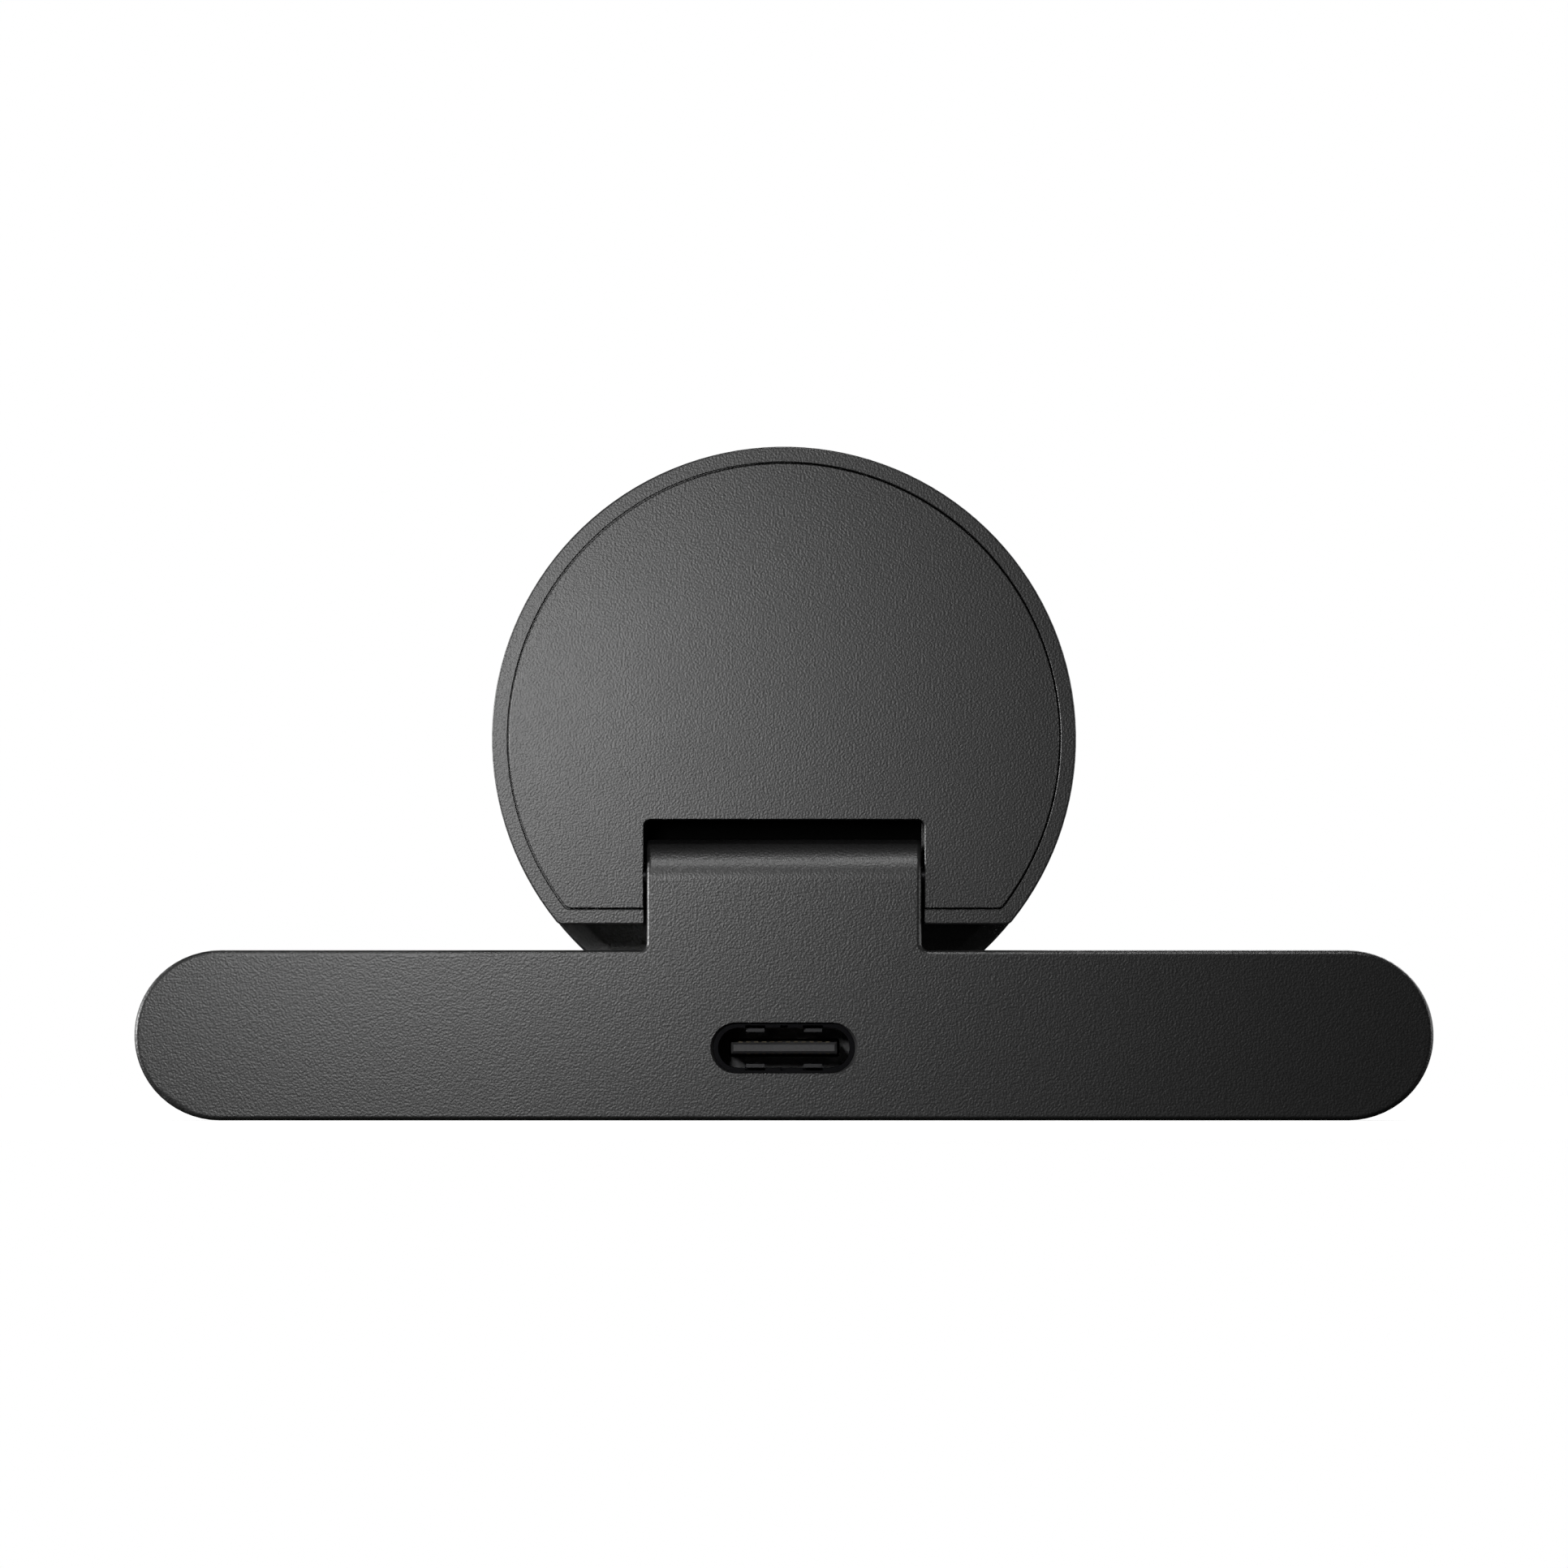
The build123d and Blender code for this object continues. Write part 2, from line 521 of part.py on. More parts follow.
with BuildPart() as head_rear_shell:
    with BuildSketch(depth_plane(HEAD_INSET)):
        add(head_outline)
    extrude(amount=PARTING_S - HEAD_INSET)
    fillet(head_rear_shell.edges().group_by(Axis.Y)[-1], HEAD_EDGE)
    chamfer(head_rear_shell.edges().group_by(Axis.Y)[0], SEAM)
    with BuildSketch(depth_plane(HEAD_INSET)):
        add(plate_seat_outline)
    extrude(amount=PLATE_SEAT_S - HEAD_INSET, mode=Mode.SUBTRACT)
    chamfer(head_rear_shell.faces().sort_by(Axis.Y)[-1].inner_wires()[0].edges(), RIM_BEVEL)
    with BuildSketch(depth_plane(FLOOR_S)):
        add(head_inside)
    extrude(amount=PARTING_S, mode=Mode.SUBTRACT)
    # housing of the hinge pocket, closed at the top, sides and front
    housing_height = POCKET_TOP_Z + POCKET_WALL - CHORD_Z
    with BuildSketch(depth_plane(PLATE_SEAT_S)):
        with Locations((0, CHORD_Z)):
            Rectangle(2 * POCKET_OUTER, housing_height, align=(Align.CENTER, Align.MIN))
    extrude(amount=POCKET_S + POCKET_WALL - PLATE_SEAT_S)
    # saddles that carry the shaft on both sides of the pocket
    saddle_width = STRAP_WIDTH + INSIDE_GAP
    for side in (-1, 1):
        with BuildSketch(depth_plane(PLATE_SEAT_S)):
            with Locations((side * (POCKET_OUTER + saddle_width / 2), CHORD_Z)):
                Rectangle(saddle_width, HINGE_Z + STRAP_RISE - CHORD_Z, align=(Align.CENTER, Align.MIN))
        extrude(amount=STRAP_S - PLATE_SEAT_S)
    # bosses for the case screws and posts for the camera board
    add_rounds(depth_plane(PLATE_SEAT_S), boss_places(), BOSS_RADIUS, PARTING_S - PLATE_SEAT_S)
    add_rounds(depth_plane(PLATE_SEAT_S), BOARD_POSTS, POST_RADIUS, BOARD_S - PLATE_SEAT_S)
    head_room = CASE_SCREW[0] + FIT
    add_rounds(depth_plane(PLATE_SEAT_S), boss_places(), head_room, CASE_SCREW_SEAT, Mode.SUBTRACT)
    case_hole = CASE_SCREW[2] + TOUCH
    add_rounds(depth_plane(PLATE_SEAT_S), boss_places(), case_hole, PARTING_S - PLATE_SEAT_S, Mode.SUBTRACT)
    add_rounds(depth_plane(BOARD_S), BOARD_POSTS, board_hole, -BOARD_HOLE_DEPTH, Mode.SUBTRACT)
    # the pocket itself, open to the back and to the underside
    with BuildSketch(depth_plane(-1)) as pocket_outline:
        with Locations((0, CHORD_Z - 1)):
            Rectangle(POCKET_WIDTH, POCKET_TOP_Z - CHORD_Z + 1, align=(Align.CENTER, Align.MIN))
        fillet(pocket_outline.vertices().group_by(Axis.Y)[-1], POCKET_CORNER)
    extrude(amount=POCKET_S + 1, mode=Mode.SUBTRACT)
    # round seat and open slot for the shaft in each saddle
    shaft_end = POCKET_OUTER + SHAFT_SIDE_LENGTH
    with BuildSketch(side_plane(-shaft_end)):
        with Locations((y_at(HINGE_S), HINGE_Z)):
            Circle(SHAFT_RADIUS + TOUCH)
    extrude(amount=2 * shaft_end, mode=Mode.SUBTRACT)
    for side in (-1, 1):
        with BuildSketch(side_plane(side * POCKET_OUTER)):
            with Locations((y_at(HINGE_S), HINGE_Z)):
                Rectangle(2 * SHAFT_RADIUS, 2 * (SHAFT_RADIUS + TOUCH), align=(Align.MAX, Align.CENTER))
        extrude(amount=side * SHAFT_SIDE_LENGTH, mode=Mode.SUBTRACT)
    # screw holes of the straps and the flex cable's slot in the pocket's front wall
    strap_screw_spots = [(-STRAP_X, STRAP_SCREW_Z), (STRAP_X, STRAP_SCREW_Z)]
    add_rounds(depth_plane(STRAP_S), strap_screw_spots, board_hole, -STRAP_HOLE_DEPTH, Mode.SUBTRACT)
    with BuildSketch(depth_plane(POCKET_S)):
        with Locations((0, FLEX_SLOT_Z)):
            Rectangle(FLEX_WIDTH + 4 * FIT, FLEX_SLOT)
    extrude(amount=POCKET_WALL, mode=Mode.SUBTRACT)
save(head_rear_shell.part, "head_rear_shell")

# Cover plate: lies flush in the back, notched for the hinge tab.
with BuildPart() as rear_cover_plate:
    with BuildSketch(depth_plane(HEAD_INSET)):
        add(flat_disc(HEAD_RADIUS - RIM - PLATE_GAP, CHORD_Z + CHORD_RIM + PLATE_GAP, 0.5))
        with BuildSketch(mode=Mode.SUBTRACT) as notch:
            with Locations((0, CHORD_Z - 1)):
                Rectangle(POCKET_WIDTH, POCKET_TOP_Z - CHORD_Z + 1, align=(Align.CENTER, Align.MIN))
            fillet(notch.vertices().group_by(Axis.Y)[-1], POCKET_CORNER)
    extrude(amount=PLATE_THICKNESS)
    chamfer(rear_cover_plate.faces().sort_by(Axis.Y)[-1].edges(), PLATE_BEVEL)
save(rear_cover_plate.part, "rear_cover_plate")

with BuildPart() as cover_plate_tape:
    with BuildSketch(depth_plane(PLATE_SEAT_S - TAPE_THICKNESS)):
        with Locations((0, HEAD_Z)):
            Circle(0.8 * BOARD_RADIUS)
            Circle(0.6 * BOARD_RADIUS, mode=Mode.SUBTRACT)
        with Locations((0, POCKET_TOP_Z + 0.4)):
            Rectangle(3 * HEAD_RADIUS, 3 * HEAD_RADIUS, align=(Align.CENTER, Align.MAX), mode=Mode.SUBTRACT)
    extrude(amount=TAPE_THICKNESS)
save(cover_plate_tape.part, "cover_plate_tape")

with BuildPart() as head_screws:
    seat_plane = depth_plane(PLATE_SEAT_S + CASE_SCREW_SEAT)
    add_screws(seat_plane, boss_places(), CASE_SCREW, CASE_SCREW_LENGTH, -1)
save(head_screws.part, "head_screws")

with BuildPart() as hinge_shaft:
    with BuildSketch(side_plane(-shaft_end + FIT)):
        with Locations((y_at(HINGE_S), HINGE_Z)):
            Circle(SHAFT_RADIUS)
    extrude(amount=2 * (shaft_end - FIT))
    chamfer(hinge_shaft.edges().filter_by(GeomType.CIRCLE), 0.2)
save(hinge_shaft.part, "hinge_shaft")

strap_foot_z = CHORD_Z + WALL + INSIDE_GAP
strap_height = HINGE_Z + STRAP_RISE - strap_foot_z
for side, name in ((-1, "hinge_strap_left"), (1, "hinge_strap_right")):
    with BuildPart() as hinge_strap:
        with BuildSketch(depth_plane(STRAP_S)):
            with Locations((side * STRAP_X, strap_foot_z)):
                Rectangle(STRAP_WIDTH, strap_height, align=(Align.CENTER, Align.MIN))
            with Locations((side * STRAP_X, STRAP_SCREW_Z)):
                Circle(board_hole, mode=Mode.SUBTRACT)
        extrude(amount=STRAP_THICKNESS)
    save(hinge_strap.part, name)

with BuildPart() as hinge_strap_screws:
    add_screws(depth_plane(STRAP_S + STRAP_THICKNESS), strap_screw_spots, BOARD_SCREW, STRAP_SCREW_LENGTH)
save(hinge_strap_screws.part, "hinge_strap_screws")

# ---------------------------------------------------------------- camera board and its parts
connector_z = POCKET_TOP_Z + POCKET_WALL + 0.67
with BuildPart() as camera_board:
    with BuildSketch(depth_plane(BOARD_S)):
        add(flat_disc(BOARD_RADIUS, CHORD_Z + WALL + 2 * INSIDE_GAP, 1.0))
        with Locations(*boss_places()):
            Circle(BOSS_RADIUS + 0.3, mode=Mode.SUBTRACT)
        with Locations(*BOARD_POSTS):
            Circle(board_hole, mode=Mode.SUBTRACT)
    extrude(amount=BOARD_THICKNESS)
save(camera_board.part, "camera_board")

with BuildPart() as board_screws:
    add_screws(depth_plane(BOARD_FRONT_S), BOARD_POSTS, BOARD_SCREW, BOARD_SCREW_LENGTH)
save(board_screws.part, "board_screws")

can_z = BOARD_POSTS[0][1] - POST_RADIUS - INSIDE_GAP - CAN_SIZE / 2
with BuildPart() as image_processor:
    add_box(depth_plane(BOARD_S), (0, can_z), (PROCESSOR_SIZE, PROCESSOR_SIZE), -1.0)
save(image_processor.part, "image_processor")

with BuildPart() as shield_can:
    add_box(depth_plane(BOARD_S), (0, can_z), (CAN_SIZE, CAN_SIZE), -CAN_HEIGHT)
    can_opening = CAN_SIZE - 2 * CAN_SHEET
    can_depth = CAN_HEIGHT - CAN_SHEET
    add_box(depth_plane(BOARD_S), (0, can_z), (can_opening, can_opening), -can_depth, Mode.SUBTRACT)
    fillet(shield_can.edges().group_by(Axis.Y)[-1], 0.15)
save(shield_can.part, "shield_can")

pad_s = BOARD_S - CAN_HEIGHT
with BuildPart() as thermal_pad:
    add_box(depth_plane(pad_s), (0, can_z), (CAN_SIZE - 1.5, CAN_SIZE - 1.5), -PAD_THICKNESS)
save(thermal_pad.part, "thermal_pad")

with BuildPart() as heat_spreader:
    spreader_plane = depth_plane(pad_s - PAD_THICKNESS)
    add_box(spreader_plane, (0, can_z), (CAN_SIZE + 3, CAN_SIZE), -SPREADER_THICKNESS, corner=1.0)
save(heat_spreader.part, "heat_spreader")

with BuildPart() as camera_flex_connector:
    with BuildSketch(depth_plane(BOARD_S)):
        with Locations((0, connector_z)):
            Rectangle(FLEX_WIDTH + CONNECTOR_MARGIN, 1.6, align=(Align.CENTER, Align.MIN))
    extrude(amount=-CONNECTOR_HEIGHT)
save(camera_flex_connector.part, "camera_flex_connector")

head_flex_s = BOARD_S - BOARD_GAP / 2
with BuildPart() as head_flex_cable:
    with BuildSketch(side_plane(-FLEX_WIDTH / 2)):
        with BuildLine():
            FilletPolyline(
                (y_at(POCKET_S + 0.1), FLEX_SLOT_Z),
                (y_at(head_flex_s), FLEX_SLOT_Z),
                (y_at(head_flex_s), connector_z),
                radius=0.35,
            )
        trace(line_width=FLEX_THICKNESS)
    extrude(amount=FLEX_WIDTH)
save(head_flex_cable.part, "head_flex_cable")

with BuildPart() as image_sensor:
    add_box(depth_plane(BOARD_FRONT_S), (0, HEAD_Z), (SENSOR_SIZE, SENSOR_SIZE), SENSOR_HEIGHT)
    with BuildSketch(depth_plane(BOARD_FRONT_S + SENSOR_HEIGHT)):
        with Locations((0, HEAD_Z)):
            Rectangle(SENSOR_SIZE * 0.66, SENSOR_SIZE * 0.5)
    extrude(amount=-0.1, mode=Mode.SUBTRACT)
save(image_sensor.part, "image_sensor")

neck_s = BOARD_FRONT_S + HOLDER_BOX
sensor_room = SENSOR_SIZE + 2 * INSIDE_GAP
middle = [(0, HEAD_Z)]
with BuildPart() as lens_holder:
    add_box(depth_plane(BOARD_FRONT_S), middle[0], (HOLDER_SIZE, HOLDER_SIZE), HOLDER_BOX, corner=0.6)
    add_rounds(depth_plane(neck_s), middle, LENS_RADIUS + 0.9, HOLDER_NECK)
    add_box(depth_plane(BOARD_FRONT_S), middle[0], (sensor_room, sensor_room), SENSOR_ROOM, Mode.SUBTRACT)
    add_box(depth_plane(BOARD_FRONT_S), middle[0], (LIGHT_HOLE, LIGHT_HOLE), HOLDER_BOX, Mode.SUBTRACT)
    add_rounds(depth_plane(neck_s), middle, LENS_RADIUS + TOUCH, HOLDER_NECK, Mode.SUBTRACT)
save(lens_holder.part, "lens_holder")

filter_size = LIGHT_HOLE - FIT
with BuildPart() as ir_filter:
    filter_plane = depth_plane(BOARD_FRONT_S + SENSOR_ROOM)
    add_box(filter_plane, middle[0], (filter_size, filter_size), FILTER_THICKNESS)
save(ir_filter.part, "ir_filter")

# Lens barrel: stepped bore that carries the glass, flared at the front.
barrel_s = neck_s + FIT
barrel_front_s = GUIDE_S - INSIDE_GAP
barrel_length = barrel_front_s - barrel_s
with BuildPart() as lens_barrel:
    add_rounds(depth_plane(barrel_s), middle, LENS_RADIUS, barrel_length)
    chamfer(lens_barrel.edges().group_by(Axis.Y)[0], 0.3)
    add_rounds(depth_plane(barrel_s), middle, GLASS_RADIUS, barrel_length, Mode.SUBTRACT)
    add_rounds(depth_plane(barrel_front_s), middle, FRONT_GLASS_RADIUS, -FRONT_GLASS_SEAT, Mode.SUBTRACT)
    chamfer(lens_barrel.edges().group_by(Axis.Y)[0].sort_by(SortBy.LENGTH)[0], 0.35)
save(lens_barrel.part, "lens_barrel")

# Front glass: seated on the barrel's step, its front rounded over to the rim.
with BuildPart() as lens_front_element:
    add_rounds(depth_plane(barrel_front_s - FRONT_GLASS_SEAT), middle, FRONT_GLASS_RADIUS - TOUCH, 1.1)
    fillet(lens_front_element.edges().group_by(Axis.Y)[0], 0.7)
save(lens_front_element.part, "lens_front_element")

with BuildPart() as lens_inner_elements:
    add_rounds(depth_plane(barrel_s + 0.4), middle, GLASS_RADIUS - TOUCH, 0.7)
    add_rounds(depth_plane(barrel_s + 1.4), middle, GLASS_RADIUS - TOUCH, 0.5)
save(lens_inner_elements.part, "lens_inner_elements")

mic_spots = [(-MIC_X, HEAD_Z + MIC_RISE), (MIC_X, HEAD_Z + MIC_RISE)]
with BuildPart() as microphones:
    with BuildSketch(depth_plane(BOARD_FRONT_S)):
        with Locations(*mic_spots):
            Rectangle(3.0, 2.2)
    extrude(amount=MIC_HEIGHT)
save(microphones.part, "microphones")

with BuildPart() as mic_gaskets:
    with BuildSketch(depth_plane(BOARD_FRONT_S + MIC_HEIGHT)):
        with Locations(*mic_spots):
            Circle(1.0)
            Circle(MIC_HOLE_RADIUS, mode=Mode.SUBTRACT)
    extrude(amount=GUIDE_S - BOARD_FRONT_S - MIC_HEIGHT)
save(mic_gaskets.part, "mic_gaskets")

led_spot = [(0, HEAD_Z + LED_RISE)]
with BuildPart() as status_led:
    add_box(depth_plane(BOARD_FRONT_S), led_spot[0], (1.6, 0.8), LED_HEIGHT)
save(status_led.part, "status_led")

with BuildPart() as led_light_pipe:
    pipe_s = BOARD_FRONT_S + LED_HEIGHT + FIT
    add_rounds(depth_plane(pipe_s), led_spot, PIPE_RADIUS, FRONT_S - pipe_s)
save(led_light_pipe.part, "led_light_pipe")

# ================================================================ head, front half
with BuildPart() as front_shell:
    with BuildSketch(depth_plane(PARTING_S)):
        with Locations((0, HEAD_Z)):
            Circle(HEAD_RADIUS)
    extrude(amount=FRONT_SHELL_DEPTH)
    fillet(front_shell.edges().group_by(Axis.Y)[0], FRONT_ROUND)
    chamfer(front_shell.edges().group_by(Axis.Y)[-1], PARTING_BEVEL)
    bore_radius = PANEL_SEAT_RADIUS - LEDGE
    add_rounds(depth_plane(PARTING_S), middle, CAVITY_RADIUS, GUIDE_FACE_S - PARTING_S, Mode.SUBTRACT)
    add_rounds(depth_plane(PARTING_S), middle, bore_radius, FRONT_SHELL_DEPTH, Mode.SUBTRACT)
    add_rounds(depth_plane(PANEL_S), middle, PANEL_SEAT_RADIUS, PANEL_THICKNESS, Mode.SUBTRACT)
    # chin: closes the disc's bottom, where there is no rear half behind it
    with BuildSketch(depth_plane(CHIN_S)):
        with Locations((0, HEAD_Z)):
            Circle(CAVITY_RADIUS + 0.1)
        with Locations((0, CHORD_Z + 0.75 * WALL)):
            Rectangle(3 * HEAD_RADIUS, 3 * HEAD_RADIUS, align=(Align.CENTER, Align.MIN), mode=Mode.SUBTRACT)
    extrude(amount=CHIN_THICKNESS)
    with BuildSketch(depth_plane(CHIN_S)):
        with Locations((0, CHORD_Z - GROOVE_DROP)):
            Rectangle(1.6 * CAVITY_RADIUS, GROOVE_WIDTH)
    extrude(amount=GROOVE_DEPTH, mode=Mode.SUBTRACT)
    # bosses that take the case screws
    boss_depth = GUIDE_S - PARTING_S
    add_rounds(depth_plane(PARTING_S), boss_places(), BOSS_RADIUS, boss_depth)
    add_rounds(depth_plane(PARTING_S), boss_places(), case_hole, boss_depth - 0.4, Mode.SUBTRACT)
save(front_shell.part, "front_shell")

blade_low_z = KNOB_Z - BLADE_FOOT / 2
blade_high_z = HEAD_Z + BLADE_HALF_HEIGHT
with BuildPart() as shutter_guide:
    with BuildSketch(depth_plane(GUIDE_S)):
        with Locations((0, HEAD_Z)):
            Circle(CAVITY_RADIUS - FIT)
            Circle(WINDOW_RADIUS, mode=Mode.SUBTRACT)
        with Locations(*led_spot):
            Circle(PIPE_RADIUS + FIT, mode=Mode.SUBTRACT)
        with Locations(*mic_spots):
            Circle(MIC_HOLE_RADIUS, mode=Mode.SUBTRACT)
    extrude(amount=GUIDE_THICKNESS)
    # rails above and below the shutter blade
    rail_length = 1.2 * PANEL_SEAT_RADIUS
    with BuildSketch(depth_plane(GUIDE_FACE_S)):
        with Locations((0, blade_low_z - INSIDE_GAP)):
            Rectangle(rail_length, 0.6, align=(Align.CENTER, Align.MAX))
        with Locations((0, blade_high_z + INSIDE_GAP)):
            Rectangle(rail_length, 0.6, align=(Align.CENTER, Align.MIN))
    extrude(amount=BLADE_SPACE - 0.05)
save(shutter_guide.part, "shutter_guide")

slot_length = SHUTTER_TRAVEL + KNOB_WIDTH + 2 * FIT
with BuildPart() as front_panel:
    with BuildSketch(depth_plane(PANEL_S)):
        with Locations((0, HEAD_Z)):
            Circle(PANEL_SEAT_RADIUS - FIT)
            Circle(WINDOW_RADIUS, mode=Mode.SUBTRACT)
        with Locations((0, KNOB_Z)):
            SlotOverall(slot_length, KNOB_HEIGHT + 2 * FIT, mode=Mode.SUBTRACT)
        with Locations(*led_spot):
            Circle(PIPE_RADIUS + FIT / 2, mode=Mode.SUBTRACT)
        with Locations(*mic_spots):
            Circle(MIC_HOLE_RADIUS, mode=Mode.SUBTRACT)
    extrude(amount=PANEL_THICKNESS)
    chamfer(front_panel.faces().sort_by(Axis.Y)[0].edges().sort_by(SortBy.LENGTH)[-1], 0.15)
save(front_panel.part, "front_panel")

with BuildPart() as lens_window:
    add_rounds(depth_plane(FRONT_S - FIT), middle, WINDOW_RADIUS - TOUCH, -WINDOW_THICKNESS)
save(lens_window.part, "lens_window")

# Shutter: the blade waits beside the lens, and its foot carries the knob in the panel's slot.
blade_x = WINDOW_RADIUS + 0.35
with BuildPart() as shutter_blade:
    with BuildSketch(depth_plane(BLADE_S)):
        with Locations((blade_x, HEAD_Z)):
            Rectangle(SHUTTER_TRAVEL, 2 * BLADE_HALF_HEIGHT, align=(Align.MIN, Align.CENTER))
        with Locations((blade_x, blade_low_z)):
            Rectangle(3.0, HEAD_Z - blade_low_z, align=(Align.MIN, Align.MIN))
        with Locations((KNOB_X, KNOB_Z)):
            Rectangle(KNOB_WIDTH + 0.6, BLADE_FOOT)
    extrude(amount=BLADE_THICKNESS)
save(shutter_blade.part, "shutter_blade")

with BuildPart() as shutter_knob:
    with BuildSketch(depth_plane(BLADE_S + BLADE_THICKNESS)):
        with Locations((KNOB_X, KNOB_Z)):
            SlotOverall(KNOB_WIDTH, KNOB_HEIGHT)
    extrude(amount=TOTAL_DEPTH - BLADE_S - BLADE_THICKNESS)
    chamfer(shutter_knob.faces().sort_by(Axis.Y)[0].edges(), 0.15)
save(shutter_knob.part, "shutter_knob")
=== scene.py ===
"""Looks of the small webcam: finished mouldings, lens, shutter, socket, foot pad and a plain studio."""

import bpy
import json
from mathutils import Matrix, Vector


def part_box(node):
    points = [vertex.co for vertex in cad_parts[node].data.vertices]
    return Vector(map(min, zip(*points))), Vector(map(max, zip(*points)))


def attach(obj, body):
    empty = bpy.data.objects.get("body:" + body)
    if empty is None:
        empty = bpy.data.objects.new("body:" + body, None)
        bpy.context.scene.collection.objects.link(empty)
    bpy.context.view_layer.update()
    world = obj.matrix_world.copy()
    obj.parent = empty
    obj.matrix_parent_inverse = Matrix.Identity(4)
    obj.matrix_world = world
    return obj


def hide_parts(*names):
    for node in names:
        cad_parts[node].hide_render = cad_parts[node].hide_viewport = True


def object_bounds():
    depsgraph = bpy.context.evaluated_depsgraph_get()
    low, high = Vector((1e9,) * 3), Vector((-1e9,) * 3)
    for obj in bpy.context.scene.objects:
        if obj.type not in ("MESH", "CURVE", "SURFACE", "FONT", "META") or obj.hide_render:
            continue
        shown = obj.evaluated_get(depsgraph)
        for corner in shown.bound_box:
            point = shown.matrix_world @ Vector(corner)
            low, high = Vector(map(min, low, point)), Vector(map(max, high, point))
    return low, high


bl_info = {
    "name": "Hinged Webcam Looks",
    "version": (1, 0, 0),
    "blender": (4, 5, 0),
    "location": "View3D > Sidebar > Webcam",
    "description": "Builds the visible pieces and materials of a small hinged webcam round its frame",
    "category": "Object",
}

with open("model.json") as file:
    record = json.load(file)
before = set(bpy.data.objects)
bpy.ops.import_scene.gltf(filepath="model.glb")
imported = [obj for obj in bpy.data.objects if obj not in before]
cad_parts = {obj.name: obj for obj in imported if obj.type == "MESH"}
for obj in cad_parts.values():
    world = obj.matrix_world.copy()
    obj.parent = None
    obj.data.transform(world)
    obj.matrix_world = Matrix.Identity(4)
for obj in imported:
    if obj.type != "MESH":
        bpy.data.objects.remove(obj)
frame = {"nodes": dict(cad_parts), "record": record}

import json
import math

import bmesh
import bpy
from bpy.props import FloatProperty, FloatVectorProperty, IntProperty, PointerProperty
from mathutils import Matrix, Vector

MM = 0.001
NOISE_RANGE = (0.3, 0.7)        # most of a noise's values lie between these two
WELD_DISTANCE = 1e-7
FLAT_ANGLE = math.radians(0.3)  # faces closer to one plane than this count as flat
ON_AXIS = 1e-9

# moulded grey plastic: how far its colour and roughness wander, and the lumps of the slow wander
DARK_GRAIN = 0.6
PALE_GRAIN = 1.45
ROUGHNESS_SWING = 0.006
CLOUD_SIZE = 6 * MM
SHADE_SHEET = 0.05 * MM        # thickness of the near-black sheet of painted shade in the hinge pocket

# status light
DOME_SWELL = 1.1                # the dome's radius of curvature as a share of its rim's radius
DOME_LIP = 0.02 * MM

# lens
LENS_CHAMFER = 0.3 * MM         # barrel's outer front edge
MOUTH_LIP = 0.45 * MM           # from the barrel's side to its flat front ring's inner edge
MOUTH_STEP = 0.1 * MM           # width of the small chamfer inside that ring
MOUTH_DROP = 0.05 * MM          # and its depth
SEAT_WIDTH = 0.5 * MM           # ring that the front glass rests on
IRIS_DEPTH = 0.25 * MM          # from that seat to the iris
GLASS_ROOM = 0.01 * MM          # round the front glass
GLASS_RIM = 0.15 * MM           # upright edge of the front glass
RIM_SEAM = 0.001 * MM           # keeps the front glass clear of its seat
HOLLOW_DEPTH = 0.3 * MM         # hollow in the glass's inner face
DOME_STEPS = 16
HOLLOW_STEPS = 8
COVER_BEVEL = 0.12 * MM
HOOD_START = 0.55               # the hood's ridges begin at this share of the shutter guide's depth
HOOD_GAP = 0.05 * MM            # from the last ridge to the guide's end
HOOD_ROOM = 0.02 * MM           # round the ridges
HOOD_RIDGE = 0.12 * MM          # height of one ridge
RIDGE_SHARE = 0.98              # a ridge's share of the pitch

# shutter knob
KNOB_EASE = 0.12 * MM
KNOB_ROOM = 0.01 * MM

# socket
LEAF_LENGTH = 1.4 * MM
LEAF_HEIGHT = 0.22 * MM
LEAF_GAP = 0.16 * MM            # from the shell's inner face to a leaf's middle
LEAF_SETBACK = 1.2 * MM         # from the mouth to a leaf's middle
LINING_SLIT = 0.15 * MM
LINING_ROOM = 0.02 * MM
LINING_START = 0.3 * MM         # both from the tongue's inner end
LINING_END = 1.0 * MM

# foot pad
RIB_SINK = 0.6                  # the plate starts this share of a rib's radius above the pad's underside
PAD_CORNER = 1.4 * MM
PAD_EDGE = 0.08 * MM
RIB_END_ROOM = 0.5 * MM
RIB_SIDE_ROOM = 1.6 * MM

# studio, in metres and watts; the key light, the high softbox and the strips are placed from the bar's back
TARGET_HEIGHT = 0.0165
KEY_PLACE = (0.0244, 0.0834, 0.0279)
KEY_TARGET = (0.030, 0.0, 0.022)
KEY_CONE = math.radians(122)
KEY_SIZE = 0.008
HIGH_PLACE = (0.0, 0.163, 0.252)
HIGH_SIZE = 0.03
OBJECT_MIDDLE = Vector((0.0, 0.0, 0.02))
SIDE_REACH = 0.30
STRIP_POWERS = ((1, 0.7), (-1, 0.1))
STRIP_PLACE = (0.05, 0.04)      # y and z
STRIP_SIZE = 0.07
WING_PLACE = (-0.15, 0.12)      # y and z
WING_POWER = 0.4
WING_SIZE = 0.30
FRONT_PLACE = Vector((-0.18, -0.42, 0.30))
FRONT_POWER = 1.5
FRONT_SIZE = 0.35
SENSOR_WIDTH = 36.0             # millimetres, like the focal length
FLOOR_RADIUS = 0.35
FLOOR_FADE = (0.06, 0.30)       # the floor turns from its middle's look to its rim's between these radii
FLOOR_DROP = 0.02 * MM
FLOOR_GLOW = (0.80, 1.0)
FLOOR_TINT = (0.5, 0.0)
SURROUNDINGS_LIGHT = 0.008

